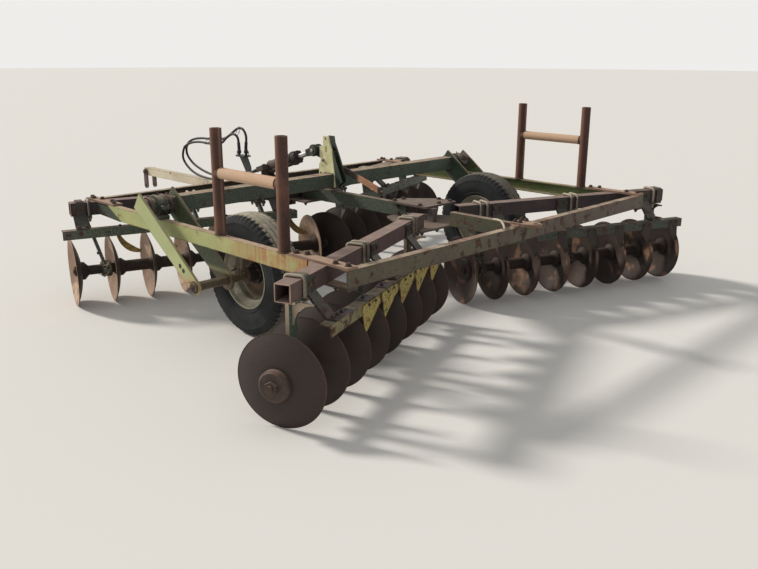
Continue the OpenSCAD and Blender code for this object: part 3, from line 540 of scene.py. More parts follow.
def mast_paint(name):
    """Painted sunlit strip on the left plate, and dark green paint with painted shade on the rest, with
    rust spots and paler edges.
    """
    g = Graph(name)
    patchy = g.noise(14.0, 6.0, 0.7, offset=1.0)
    fine = g.noise(100.0, 5.0, 0.7, offset=3.0)
    lines = g.noise(1.0, 4.0, 0.7, g.stretched((50.0, 50.0, 5.0)))
    # pale is painted sunlight, laid on a strip of the left plate; dark is green paint darkened as painted
    # shade, laid on the rest.
    pale = g.blend(patchy, 0.36, 0.66, (224, 219, 176), (194, 192, 144))
    pale = g.blend(lines, 0.6, 0.74, pale, (116, 92, 74), 0.6)
    dark = g.blend(patchy, 0.4, 0.68, (34, 50, 46), (54, 66, 54))
    painted_sunlit_strip = g.times(g.along(MAST_SLOPE, MAST_LINE - 0.004, MAST_LINE + 0.004),
                     g.along(X_AXIS, -0.012, 0.0, 1.0, 0.0), g.along(Y_AXIS, *STRIP_END, 1.0, 0.0))
    colour = g.mix(painted_sunlit_strip, dark, pale)
    colour = g.blend(patchy, 0.62, 0.68, colour, (98, 74, 60), 0.8)
    colour = g.blend(fine, 0.64, 0.7, colour, (78, 58, 48), 0.7)
    colour = g.mix(g.times(g.edges(0.006), 0.6), colour, (170, 156, 128))
    return g.finish(colour, g.step(patchy, 0.3, 0.7, 0.55, 0.82), fine, 0.0007)


# Where the lock bar's grease gives way to rust, and where the ram's rod meets its clevis
GREASE_END = at_y(ROCK_Y - 235), at_y(ROCK_Y - 205)
ROD_END = at_y(ROCK_Y + 234), at_y(ROCK_Y + 240)


def lock_bar_rust(name):
    """Bar that is dark and greasy near the mast and bare orange rust towards its tip."""
    g = Graph(name)
    patchy = g.noise(20.0, 6.0, 0.7)
    fine = g.noise(120.0, 4.0, 0.7, offset=2.0)
    dark = g.blend(patchy, 0.35, 0.65, (46, 44, 40), (72, 62, 54))
    rust = g.blend(patchy, 0.35, 0.65, (158, 108, 82), (188, 142, 112))
    colour = g.mix(g.along(Y_AXIS, *GREASE_END), rust, dark)
    colour = g.blend(fine, 0.58, 0.72, colour, (104, 72, 56), 0.5)
    return g.finish(colour, g.step(fine, 0.3, 0.7, 0.65, 0.88), fine, 0.0007)


def ram_rod_metal(name):
    """Plated rod with an oily film, and a black forged clevis at its end."""
    g = Graph(name)
    lines = g.noise(1.0, 3.0, 0.6, g.stretched((500.0, 30.0, 30.0)))
    plated = g.blend(lines, 0.35, 0.7, (205, 205, 202), (150, 148, 142))
    fine = g.noise(90.0, 5.0, 0.7)
    black = g.blend(fine, 0.5, 0.7, (34, 33, 32), (84, 68, 56))
    clevis = g.along(Y_AXIS, *ROD_END, 1.0, 0.0)
    colour = g.mix(clevis, plated, black)
    return g.finish(colour, g.step(clevis, 0.0, 1.0, 0.24, 0.7), fine, 0.0003,
                    g.step(clevis, 0.0, 1.0, 1.0, 0.0))


# A line across the machine between its front and its rear gangs
MIDDLE_Y = at_y(-1000)


def scraper_paint(name):
    """Scrapers: yellow at the rear left, olive at the front left and dark brown on the right."""
    g = Graph(name)
    patchy = g.noise(22.0, 6.0, 0.7)
    fine = g.noise(120.0, 5.0, 0.7, offset=2.0)
    yellow = g.blend(patchy, 0.42, 0.66, (176, 162, 88), (140, 124, 72))
    yellow = g.blend(patchy, 0.55, 0.6, yellow, (118, 78, 52), 0.9)
    yellow = g.blend(patchy, 0.46, 0.41, yellow, (54, 48, 40), 0.9)
    yellow = g.blend(fine, 0.54, 0.62, yellow, (84, 62, 46), 0.85)
    brown = g.blend(patchy, 0.36, 0.64, (44, 40, 36), (64, 54, 46))
    olive = g.blend(patchy, 0.36, 0.64, (168, 146, 84), (128, 100, 62))
    at_left = g.along(X_AXIS, -0.02, 0.02, 1.0, 0.0)
    at_rear = g.along(Y_AXIS, MIDDLE_Y - 0.02, MIDDLE_Y + 0.02, 1.0, 0.0)
    colour = g.mix(at_left, brown, g.mix(at_rear, olive, yellow))
    colour = g.mix(g.times(g.edges(0.004), 0.7), colour, (128, 96, 72))
    return g.finish(colour, g.step(patchy, 0.3, 0.7, 0.6, 0.85), fine, 0.0006)


def hose_cover(name):
    """Black rubber cover with scuffs and dust on its upper side."""
    g = Graph(name)
    fine = g.noise(260.0, 3.0)
    patchy = g.noise(26.0, 5.0, 0.7, offset=2.0)
    colour = g.blend(patchy, 0.45, 0.7, (26, 26, 28), (52, 50, 48))
    dusty = g.times(g.faces(UP, 0.4, 1.0), g.step(patchy, 0.4, 0.6, 0.1, 0.5))
    colour = g.mix(dusty, colour, (112, 104, 94))
    return g.finish(colour, g.step(patchy, 0.3, 0.7, 0.45, 0.7), fine, 0.0003, specular=0.3)


# Stretches of the zones and stains: the left rail's rear, the racks' bars between their posts,
# which get painted sunlight, and the ram's barrel towards its rod end
RAIL_REAR = (Y_AXIS, at_y(-1020), at_y(-1560))
RACK_START = at_y(-1652)
RACK_END = at_y(-1188)
SUNLIT_RACK_BAR = [(Y_AXIS, RACK_START, RACK_START + 0.006), (REARWARDS, -RACK_END, 0.006 - RACK_END)]
GLAND = (REARWARDS, -at_y(-120), 0.004 - at_y(-120))

# Light and dark tone of each paint, with what else it sets
PAINTS = {
    "pale_green": ((180, 184, 124), (160, 168, 108), dict(
        top=0.95, patches=0.2, edge=0.9, streaks=0.55, rust=(132, 96, 70), top_rust=(174, 144, 126),
        stain=RAIL_REAR, stain_colour=(168, 118, 76))),
    # The first zone is painted shadow of the rail, dark teal on the inner arm plate above its low end; the
    # second is dark brown below it.
    "arm_green": ((178, 186, 132), (162, 174, 118), dict(
        top=0.6, patches=0.1, streaks=0.3, stain=(UP, 0.44, 0.36), stain_colour=(178, 146, 108),
        zones=[((38, 54, 48), [(X_AXIS, -1.33, -1.29), (UP, 0.385, 0.42)]),
               ((46, 38, 34), [(X_AXIS, -1.42, -1.405), (UP, 0.405, 0.375)])])),
    "right_arm": ((96, 116, 78), (66, 90, 62), dict(
        patches=0.45, streaks=0.6, top_rust=(160, 136, 118),
        zones=[((40, 60, 50), [((-1, 0, 0), -1.33, -1.29)])])),
    "centre_green": ((84, 82, 62), (60, 66, 52), dict(
        patches=0.75, streaks=0.6, rust=(82, 62, 54), top_rust=(126, 102, 92), dust=0.15)),
    "right_rail": ((128, 144, 92), (96, 120, 74), dict(
        patches=0.4, streaks=0.6, top_rust=(150, 122, 106))),
    "bracket_iron": ((34, 42, 39), (40, 35, 34), dict(
        top=0.4, rust=(54, 42, 37), top_rust=(70, 64, 60), dust=0.08)),
    # The standards' pale side colour is painted sunlight on their faces that look outwards along the rear
    # left gang.
    "rear_post": ((44, 78, 68), (36, 58, 52), dict(
        top=0.85, patches=0.4, edge=0.4, rust=(74, 56, 48), top_rust=(150, 128, 110),
        side=(-REAR_LEFT.along, (206, 182, 158)))),
    "dark_green": ((44, 66, 56), (36, 52, 48), dict(
        top=0.7, patches=0.3, top_rust=(138, 118, 102), rust=(78, 58, 48))),
    "teal_green": ((46, 76, 64), (38, 60, 54), dict(
        top=0.85, rust=(84, 62, 52), top_rust=(170, 148, 126))),
    # The rear beam's low tones are partly painted shade on its rear face.
    "olive_beam": ((84, 82, 58), (72, 62, 50), dict(
        top=1.0, patches=0.6, streaks=0.9, rust=(66, 50, 42), top_rust=(142, 116, 102), dust=0.12,
        stain=(X_AXIS, -0.9, 0.2), stain_colour=(76, 58, 50))),
    # The front beam's dark tones are partly painted shade on its rear face.
    "dark_beam": ((48, 60, 54), (50, 46, 44), dict(
        top=0.95, rust=(74, 54, 46), top_rust=(170, 146, 126))),
    "left_bar": ((54, 74, 60), (44, 58, 50), dict(
        top=0.8, patches=0.35, rust=(84, 64, 52), top_rust=(158, 144, 122),
        stain=FRONT_LEFT.stretch(30, -15), stain_colour=(74, 54, 46))),
    "dark_bar": ((44, 60, 48), (38, 44, 40), dict(
        top=0.7, rust=(66, 52, 44), top_rust=(82, 76, 70), dust=0.12)),
    "yellow_bar": ((138, 128, 72), (88, 84, 56), dict(
        top=0.97, patches=0.85, rust=(74, 58, 46), top_rust=(70, 70, 68), dust=0.15)),
    "cream": ((214, 204, 180), (192, 180, 152), dict(
        top=0.3, patches=0.35, edge=0.9, streaks=0.5, rust=(120, 82, 60), top_rust=(186, 168, 144))),
}

# Dark, mid and light tone of each bare rust, with what else it sets
RUSTS = {
    "pad_iron": ((70, 66, 66), (92, 86, 86), (124, 114, 110), dict(top_colour=(112, 106, 107))),
    "u_bolt": ((46, 44, 42), (70, 66, 60), (216, 204, 182), dict(
        top_colour=(176, 164, 146), lit_side=(-0.75, 0.2, 0.6))),
    "lip_rust": ((150, 122, 108), (184, 154, 136), (206, 178, 156), {}),
    "rust_brown_dark": ((62, 50, 45), (86, 70, 62), (112, 90, 78), dict(top_colour=(140, 116, 100))),
    "plum_rust": ((72, 54, 54), (92, 74, 72), (118, 96, 90), dict(top=0.95, top_colour=(160, 138, 126))),
    "dark_tube": ((50, 42, 46), (64, 54, 56), (88, 72, 68), dict(top=0.9, top_colour=(158, 136, 124))),
    # The racks' pale top colour, their lit sides and the pale zone on their bars are painted sunlight.
    "post_rust": ((60, 41, 38), (78, 52, 46), (140, 100, 80), dict(
        top_colour=(206, 170, 144), lit_side=(-0.8, 0.6, 0), zones=[((204, 172, 143), SUNLIT_RACK_BAR)])),
    "strap_rust": ((110, 86, 74), (136, 110, 95), (162, 136, 116), dict(
        top=0.95, top_colour=(180, 152, 128), zones=[((52, 48, 44), [(DOWN, -0.56, -0.555)])])),
    "dark_strap": ((76, 70, 66), (96, 84, 78), (120, 104, 94), dict(top=0.8, top_colour=(132, 112, 100))),
    "axle_iron": ((38, 32, 30), (54, 44, 40), (82, 66, 56), dict(top_colour=(96, 80, 70))),
    "band_iron": ((44, 46, 44), (66, 64, 58), (104, 90, 78), dict(top_colour=(128, 112, 98))),
    "ram_brown": ((62, 52, 48), (84, 70, 62), (112, 94, 80), dict(
        top_colour=(138, 120, 102), zones=[((36, 34, 33), [GLAND])])),
}

# Tone and specks of each plain iron, with its roughness and how metallic it is
IRONS = {
    "gas_black": ((24, 24, 25), (64, 58, 52), 0.45),
    "black_iron": ((38, 33, 32), (74, 58, 48)),
    "bolt_rust": ((58, 46, 40), (118, 94, 78), 0.75),
    "weld": ((74, 66, 56), (110, 88, 70), 0.8),
    "bright_wire": ((196, 184, 160), (132, 112, 92), 0.55),
    "nickel": ((168, 164, 154), (96, 86, 76), 0.35, 0.8),
}

MATERIALS = {name: paint(name, light, dark, **more) for name, (light, dark, more) in PAINTS.items()}
MATERIALS.update({name: bare_rust(name, *tones, **more) for name, (*tones, more) in RUSTS.items()})
MATERIALS.update({name: plain_iron(name, *settings) for name, settings in IRONS.items()})
MATERIALS.update({name: make(name) for name, make in {
    "ram_rod": ram_rod_metal, "mast_paint": mast_paint, "lock_bar": lock_bar_rust,
    "scrapers": scraper_paint, "tyre_rubber": tyre_rubber, "rim_paint": wheel_rim_paint,
    "hose_rubber": hose_cover}.items()})

# Nodes of the part that wear each look
NODE_LOOKS = {
    "pale_green": "side_rail_left",
    "right_rail": "side_rail_right",
    "dark_beam": "front_beam",
    "olive_beam": "rear_beam",
    "dark_green": "centre_rail_front corner_braces standards_front_left standards_front_right "
                  "standards_rear_right",
    "centre_green": "centre_rail_rear",
    "strap_rust": "corner_straps rear_hitch",
    "dark_strap": "centre_plates",
    "teal_green": "rockshaft_bearings rockshaft",
    "ram_brown": "ram_bracket ram_barrel",
    "dark_tube": "gang_tube_front_left gang_tube_front_right gang_tube_rear_right",
    "plum_rust": "gang_tube_rear_left hitch_clevis",
    "rear_post": "standards_rear_left",
    "left_bar": "scraper_bar_front_left",
    "dark_bar": "scraper_bar_front_right scraper_bar_rear_right",
    "yellow_bar": "scraper_bar_rear_left",
    "bracket_iron": "bar_brackets",
    "scrapers": "scrapers",
    "axle_iron": "axle_front_left axle_front_right axle_rear_right",
    "rust_brown_dark": "axle_rear_left",
    "post_rust": "rack_left rack_right",
    "arm_green": "wheel_arms_left",
    "right_arm": "wheel_arms_right",
    "mast_paint": "mast",
    "lock_bar": "lock_bar",
    "rim_paint": "rim_left rim_right",
    "ram_rod": "ram_rod",
    "cream": "drawbar",
    "gas_black": "hose_holder hose_couplers",
}


def dress(node, material):
    for slot in NODES[node].material_slots:
        slot.material = material


for look, node_names in NODE_LOOKS.items():
    for node_name in node_names.split():
        dress(node_name, MATERIALS[look])
for gang in GANGS:
    dress("discs_" + gang.name, disc_metal(gang))
for hose_curve in HOSES:
    hose_curve.data.materials.append(MATERIALS["hose_rubber"])


# Mesh building
WASHER_T = 2.6
SIDES = (-1, 1)
CORNERS = ((-1, -1), (1, -1), (1, 1), (-1, 1))
TURN_Y = Matrix.Rotation(math.pi / 2, 4, "Y")


def add_mesh(name, mesh, body, look):
    """Makes a piece from a bmesh whose places are in the frame of the part."""
    bmesh.ops.recalc_face_normals(mesh, faces=mesh.faces)
    data = bpy.data.meshes.new(name)
    mesh.to_mesh(data)
    mesh.free()
    piece = bpy.data.objects.new(name, data)
    bpy.context.collection.objects.link(piece)
    data.materials.append(MATERIALS[look])
    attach(piece, body)
    return piece


def vertices(mesh, matrix, places):
    """New vertices at places in millimetres in a frame."""
    return [mesh.verts.new(matrix @ (Vector(place) * MM)) for place in places]


def ring(mesh, matrix, radius, height, sides, phase=0.0):
    """A ring of vertices about Z at a height, in millimetres."""
    turns = [2 * math.pi * (i + phase) / sides for i in range(sides)]
    return vertices(mesh, matrix, [(radius * math.cos(t), radius * math.sin(t), height) for t in turns])


def skin(mesh, low, high):
    """Faces between two rings of vertices."""
    count = len(low)
    for i in range(count):
        mesh.faces.new((low[i], low[(i + 1) % count], high[(i + 1) % count], high[i]))


def loft(mesh, rings, closed=False):
    """Faces between rings in turn, then back to the first ring or over both ends."""
    for low, high in zip(rings, rings[1:]):
        skin(mesh, low, high)
    if closed:
        skin(mesh, rings[-1], rings[0])
    else:
        mesh.faces.new(list(reversed(rings[0])))
        mesh.faces.new(rings[-1])


def turned(mesh, matrix, profile, sides, phase=0.0):
    """A solid turned about Z from (radius, height) points, closed at both ends."""
    loft(mesh, [ring(mesh, matrix, r, h, sides, phase) for r, h in profile])


def collar(mesh, matrix, inner, outer, low, high, sides=32, edge=1.5):
    """A ring with a hole about Z, its outer edges broken."""
    profile = [(inner, low), (outer - edge, low), (outer, low + edge), (outer, high - edge),
               (outer - edge, high), (inner, high)]
    loft(mesh, [ring(mesh, matrix, r, h, sides) for r, h in profile], closed=True)


def upright(x, y, z):
    """A frame at a place on the machine, with its axes along the machine's."""
    return Matrix.Translation(point(x, y, z))


def aimed(place, direction):
    """A frame at a place whose Z runs along a direction."""
    return Matrix.Translation(place) @ Vector(direction).to_track_quat("Z", "Y").to_matrix().to_4x4()


def outwards(side, x, y, z):
    """A frame at a place on one side of the machine whose Z runs away from its middle."""
    return aimed(point(side * x, y, z), (side, 0, 0))


def bolt(mesh, place, direction, size=9.0, head=9.0, washer=True, stud=0.0):
    """Hexagon head of that half width, on a washer, standing on a face in that direction."""
    matrix = aimed(place, direction)
    base = WASHER_T if washer else 0.0
    if washer:
        turned(mesh, matrix, [(size * 1.55, 0), (size * 1.55, 2.0), (size * 1.35, base)], 20)
    top = base + head
    turned(mesh, matrix, [(size, base), (size * 1.13, base + 1), (size * 1.13, top - 2),
                          (size * 0.95, top)], 6, random.random())
    if stud:
        turned(mesh, matrix, [(size * 0.6, top - 1), (size * 0.6, top + stud - 2),
                              (size * 0.45, top + stud)], 12)


def box(mesh, matrix, low, high, edge=1.2):
    """A block between two corners in millimetres, its edges broken top and bottom."""
    loops = []
    for z, inset in ((low[2], edge), (low[2] + edge, 0), (high[2] - edge, 0), (high[2], edge)):
        x0, y0, x1, y1 = low[0] + inset, low[1] + inset, high[0] - inset, high[1] - inset
        loops.append(vertices(mesh, matrix, [(x0, y0, z), (x1, y0, z), (x1, y1, z), (x0, y1, z)]))
    loft(mesh, loops)


def rod(mesh, places, radii, sides=10):
    """A round bar through places in the frame of the part: one radius in millimetres, or one a place."""
    count = len(places)
    if not isinstance(radii, (list, tuple)):
        radii = [radii] * count
    tangents = [(places[min(i + 1, count - 1)] - places[max(i - 1, 0)]).normalized() for i in range(count)]
    guide = Vector(UP if abs(tangents[0].z) < 0.9 else X_AXIS)
    rings = []
    for place, tangent, radius in zip(places, tangents, radii):
        across = tangent.cross(guide).normalized()
        guide = across.cross(tangent).normalized()
        rings.append(round_section(mesh, place, radius, across, guide, sides))
    loft(mesh, rings)


def loop_rod(mesh, places, radius, sides):
    """A closed ring of round bar through places in the frame of the part."""
    centre = sum(places, Vector()) / len(places)
    rings = []
    for i, place in enumerate(places):
        tangent = (places[(i + 1) % len(places)] - places[i - 1]).normalized()
        across = tangent.cross((place - centre).normalized()).normalized()
        rings.append(round_section(mesh, place, radius, across, across.cross(tangent).normalized(), sides))
    loft(mesh, rings, closed=True)


def round_section(mesh, place, radius, across, out, sides):
    turns = [2 * math.pi * i / sides for i in range(sides)]
    return [mesh.verts.new(place + radius * MM * (math.cos(t) * across + math.sin(t) * out)) for t in turns]


def weld(mesh, start, end, size=4.0):
    """A bead of weld metal between two places, with the ripples of its runs."""
    count = max(4, int((end - start).length / (0.9 * size * MM)))
    places = [start.lerp(end, i / count) for i in range(count + 1)]
    radii = [size * (0.5 if i in (0, count) else 0.86 + 0.22 * (i % 2) + 0.1 * random.random())
             for i in range(count + 1)]
    rod(mesh, places, radii, 6)


def weld_loop(mesh, places, size=4.0):
    """Weld beads from place to place and back to the first."""
    for a, b in zip(places, places[1:] + places[:1]):
        weld(mesh, a, b, size)


def weld_ring(mesh, matrix, radius, size=3.5, count=40):
    """A bead of weld round a shaft."""
    turns = [2 * math.pi * i / count for i in range(count)]
    places = [matrix @ (Vector((radius * math.cos(t), radius * math.sin(t), 0)) * MM) for t in turns]
    loop_rod(mesh, places, size, 6)


def arch(half, low, top, corner, steps=5):
    """Points (across, height) of an upside-down U with rounded corners."""
    points = [(-half, low), (-half, top - corner)]
    for i in range(1, steps):
        turn = math.pi / 2 * i / steps
        points.append((-half + corner * (1 - math.cos(turn)), top - corner + corner * math.sin(turn)))
    points.append((-half + corner, top))
    return points + [(-y, z) for y, z in reversed(points)]


def slot_outline(u, w, half, radius, steps=6):
    """Outline of a slot with round ends, as points in two measures."""
    made = []
    for end, start in ((half - radius, -math.pi / 2), (radius - half, math.pi / 2)):
        for i in range(steps + 1):
            turn = start + math.pi * i / steps
            made.append((u + end + radius * math.cos(turn), w + radius * math.sin(turn)))
    return made


random.seed(7)
STRAP_TOP = FRAME_TOP + PLATE_T
STRAP_LOW = FRAME_BOTTOM - PLATE_T
RAIL_MID_X = HALF_W - FLANGE_W / 2

# Bolts of the frame: (y, x offset) in the corner straps, (x, y) in the plates
REAR_STRAP_BOLTS = [(-2112, 0), (-2040, -10), (-1826, 10), (-1770, -10)]
FRONT_STRAP_BOLTS = [(262, 0), (221, -12), (158, 12), (26, 10), (-35, -10)]
TOP_PLATE_BOLTS = [(-95, -95), (95, -95), (-95, -385), (95, -385), (-95, -240), (95, -240),
                   (-35, -1388), (50, -1172), (-30, -1172), (205, -1335), (205, -1425), (100, -1425)]
LOW_PLATE_BOLTS = [(-95, -95), (95, -95), (-95, -385), (95, -385), (50, -1185), (-50, -1185),
                   (-225, -1505), (225, -1505), (-225, -1575), (225, -1575), (-90, -1575), (90, -1575)]
HITCH_BOLTS = [(-30, -2120), (30, -2120), (-30, -2088), (30, -2088)]
HITCH_TOP = FRAME_TOP + 16
THROUGH_NUT = dict(size=11.0, head=10.0, stud=9.0)


def frame_bolts():
    mesh = bmesh.new()
    for side in SIDES:
        strap_x = side * (HALF_W - STRAP_W / 2)
        for y, offset in REAR_STRAP_BOLTS + FRONT_STRAP_BOLTS:
            bolt(mesh, point(strap_x + offset, y, STRAP_TOP), UP, 11.0, 13.0)
        for y, offset in REAR_STRAP_BOLTS:
            bolt(mesh, point(strap_x + offset, y, STRAP_LOW), DOWN, **THROUGH_NUT)
    for x, y in TOP_PLATE_BOLTS:
        bolt(mesh, point(x, y, STRAP_TOP), UP, 11.0, 10.0)
    for x, y in LOW_PLATE_BOLTS:
        bolt(mesh, point(x, y, STRAP_LOW), DOWN, **THROUGH_NUT)
    for x, y in HITCH_BOLTS:
        bolt(mesh, point(x, y, HITCH_TOP), UP, 10.0, 10.0, stud=6.0)
    for z in (575, 615):
        bolt(mesh, point(-FLANGE_W / 2, -1195, z), (-1, 0, 0), 9.0, 8.0)
    for y, z in ((235, STRAP_TOP), (265, FRAME_TOP)):
        for x in (-46, 46):
            bolt(mesh, point(x, y, z), UP)
    add_mesh("frame_bolts", mesh, "frame", "bolt_rust")


RACK_POSTS = (-1160, -1680)
RACK_BAR_RISE = 324


def frame_welds():
    mesh = bmesh.new()
    for side in SIDES:
        for x in (side * 17, side * 41):
            weld(mesh, point(x, 115, STRAP_TOP), point(x, 185, STRAP_TOP))
        weld(mesh, point(side * 52, -2135, FRAME_TOP), point(side * 52, -2096, FRAME_TOP), 5.0)
        rail_in = side * (HALF_W - FLANGE_W)
        weld(mesh, point(rail_in, -120, FRAME_TOP - 8), point(rail_in, 0, FRAME_TOP - 8), 3.5)
        for y, facing in zip(RACK_POSTS, (-1, 1)):
            collar(mesh, upright(side * RAIL_MID_X, y, FRAME_TOP), 29, 36, 0, 6, 28, 3)
            bar = upright(side * RAIL_MID_X, y, FRAME_TOP + RACK_BAR_RISE)
            collar(mesh, bar @ Matrix.Rotation(-facing * math.pi / 2, 4, "X"), 28, 33, 27, 33, 28, 3)
    weld(mesh, point(-52, -2070, FRAME_TOP), point(52, -2070, FRAME_TOP), 4.0)
    weld(mesh, point(-FLANGE_W / 2, 246, FRAME_TOP - 1), point(FLANGE_W / 2, 246, FRAME_TOP - 1), 4.0)
    for x in (-78, -70):
        weld(mesh, point(x, 250, FRAME_TOP + 10), point(x, 286, FRAME_TOP + 10), 3.0)
    add_mesh("frame_welds", mesh, "frame", "weld")


# Torn corner of plate by the rear hitch, its outline as (x, y)
TORN_PLATE = [(-112, -2136), (-60, -2136), (-60, -2098), (-86, -2098)]


def hitch_pieces():
    mesh = bmesh.new()
    loft(mesh, [vertices(mesh, upright(0, 0, 0), [(x, y, z) for x, y in TORN_PLATE])
                for z in (FRAME_TOP, FRAME_TOP + 8)])
    collar(mesh, upright(-84, -2118, FRAME_TOP + 8), 7, 13, 0, 3, 20)
    collar(mesh, upright(0, -2202, HITCH_TOP), 14.5, 26, 0, 4, 36)
    add_mesh("hitch_trim", mesh, "frame", "strap_rust")


# Gang fittings
BAND_T = 10
BAND_W = 42
BAND_GAP = 1
U_BOLT_R = 8
FOOT_HALF = 42
FOOT_LOW = FRAME_BOTTOM - 12
BRACKET_T = 10
HOUSING_R = 50
HOUSING_HALF = 28
STEM_HALF = 9


def tube_band(mesh, gang, u):
    """A wide flat strap bent over a square tube."""
    lines = [arch(TUBE_HALF + BAND_GAP + t, FOOT_LOW, FRAME_TOP + BAND_GAP + t, corner)
             for t, corner in ((0, 8), (BAND_T, 20))]
    in_a, out_a, in_b, out_b = [
        vertices(mesh, gang.matrix, [(u + end, gang.tube_v + v, z) for v, z in line])
        for end in (-BAND_W / 2, BAND_W / 2) for line in lines]
    for i in range(len(in_a) - 1):
        for a, b in ((in_a, out_a), (out_b, in_b), (out_a, out_b), (in_b, in_a)):
            mesh.faces.new((a[i], a[i + 1], b[i + 1], b[i]))
    for i in (0, -1):
        mesh.faces.new((in_a[i], out_a[i], out_b[i], in_b[i]))


def clamps(gang):
    """Bands and U-bolts that hold the standards to the tube, with the ears that take their nuts."""
    bands, bolts = bmesh.new(), bmesh.new()
    for number, slot in enumerate(gang.slots):
        u = gang.bearing(slot) - gang.lean
        places = (u - 24, u + 24)
        if number == 0:
            band_shift, bolt_shift = (70, 40) if gang is REAR_LEFT else (-30, 22)
            tube_band(bands, gang, u + band_shift)
            places = (u + bolt_shift,)
        for place in places:
            line = arch(TUBE_HALF + U_BOLT_R + 1, FOOT_LOW - 26, FRAME_TOP + U_BOLT_R + 1, 16)
            rod(bolts, [gang.at(place, gang.tube_v + v, z) for v, z in line], U_BOLT_R)
            for side in SIDES:
                near, far = sorted(gang.tube_v + side * (FOOT_HALF + reach) for reach in (-2, 18))
                box(bands, gang.matrix, (place - 13, near, FOOT_LOW), (place + 13, far, FRAME_BOTTOM - 1))
                nut = gang.at(place, gang.tube_v + side * (TUBE_HALF + 9), FOOT_LOW)
                bolt(bolts, nut, DOWN, 11.0, 11.0)
    add_mesh("tube_bands_" + gang.name, bands, "frame", "band_iron")
    add_mesh("u_bolts_" + gang.name, bolts, "frame", "u_bolt")


def bearings(gang):
    """Split ears, lips, bolts and grease nipples of the housings on the gang's axle."""
    mesh, bolts = bmesh.new(), bmesh.new()
    for slot in gang.slots:
        u = gang.bearing(slot)
        housing = gang.matrix @ Matrix.Translation(Vector((u, 0, DISC_R)) * MM) @ TURN_Y
        for end in SIDES:
            low, high = sorted((end * HOUSING_HALF, end * (HOUSING_HALF + 4)))
            collar(mesh, housing, 34, 45, low, high, 40)
            collar(mesh, housing, HOUSING_R - 0.5, HOUSING_R + 4, end * 17 - 4, end * 17 + 4, 48)
        for side in SIDES:
            near, far = sorted((side * (HOUSING_R - 6), side * (HOUSING_R + 24)))
            box(mesh, gang.matrix, (u - 22, near, DISC_R - 15), (u + 22, far, DISC_R + 15), 3)
            ear = side * (HOUSING_R + 12)
            bolt(bolts, gang.at(u, ear, DISC_R + 15), UP)
            bolt(bolts, gang.at(u, ear, DISC_R - 15), DOWN, stud=7.0)
        nipple = aimed(gang.at(u, -0.7 * HOUSING_R, DISC_R + 0.7 * HOUSING_R),
                       gang.way(0, -0.7, 0.7).normalized())
        turned(bolts, nipple, [(5, -2), (5, 5), (3, 6), (3, 10), (4, 12), (2, 14)], 12)
        if gang.is_rear:
            for shift in (-18, 18):
                for face, stud in ((-1, 0.0), (1, 6.0)):
                    bolt(bolts, gang.at(u + shift, face * STEM_HALF, DISC_R + 82), gang.way(0, face, 0),
                         8.0, 8.0, stud=stud)
            for v in (-STEM_HALF, STEM_HALF):
                weld(mesh, gang.at(u - 34, v, FOOT_LOW), gang.at(u + 34, v, FOOT_LOW))
        else:
            fall = FOOT_LOW - DISC_R
            share = 0.3
            spot = gang.at(u - gang.lean * share - STEM_HALF, gang.tube_v * share, DISC_R + fall * share)
            bolt(bolts, spot, gang.way(-fall, 0, -gang.lean).normalized(), 8.0, 8.0)
            foot_u = u - gang.lean - 12
            weld(mesh, *(gang.at(foot_u, gang.tube_v + end, FOOT_LOW) for end in (-34, 34)))
    look = "teal_green" if gang.side < 0 else "black_iron"
    add_mesh("bearing_trim_" + gang.name, mesh, "frame", look)
    add_mesh("bearing_bolts_" + gang.name, bolts, "frame", "bolt_rust")


SLOT_MARK = 0.6


def scraper_bolts(gang):
    """Bolts of the scrapers and of the brackets, and the slots left in the bar."""
    mesh, slots = bmesh.new(), bmesh.new()
    top, under = gang.bar_top, gang.bar_top - BAR_T
    back = gang.way(0, -1, 0)
    blade_bolts = (34, 108) if gang is REAR_LEFT else (26, 66)
    for i in gang.scrapers:
        start = i * DISC_PITCH
        if gang.is_rear:
            for shift in blade_bolts:
                u = start + shift
                bolt(mesh, gang.at(u, gang.bar_v - 5, gang.bar_z + 36), back, 5.5, 4.5)
                nut = aimed(gang.at(u, gang.bar_v + BAR_T, gang.bar_z + 32), -back)
                turned(mesh, nut, [(9, 0), (9, 8), (7, 10)], 6)
        else:
            box(mesh, gang.matrix, (start - 184, gang.bar_v + 8, under - 5),
                (start - 138, gang.bar_v + 52, under))
            bolt(mesh, gang.at(start - 158, gang.bar_v + 30, top), UP, 7.5, 7.0)
            bolt(mesh, gang.at(start - 158, gang.bar_v + 30, under - 5), DOWN, 7.5, 8.0)
    for bracket in gang.brackets():
        for u in (bracket - 22, bracket + 22):
            bolt(mesh, gang.at(u, gang.tube_v - TUBE_HALF - BRACKET_T, MID_Z + 8), back, 9.0, 8.0)
            bolt(mesh, gang.at(u, gang.bar_v + 24, top + BRACKET_T), UP)
            bolt(mesh, gang.at(u, gang.bar_v + 24, under), DOWN, 9.0, 8.0, stud=6.0)
    for k in range(int(gang.bar_len / DISC_PITCH)):
        middle = gang.bar_start + k * DISC_PITCH + (130 if gang.is_rear else 34)
        outline = slot_outline(middle, gang.bar_z + 30, 17, 5)
        loft(slots, [vertices(slots, gang.matrix, [(u, gang.bar_v - depth, z) for u, z in outline])
                     for depth in (0, SLOT_MARK)])
    add_mesh("scraper_bolts_" + gang.name, mesh, "frame", "bolt_rust")
    add_mesh("bar_slots_" + gang.name, slots, "frame", "black_iron")


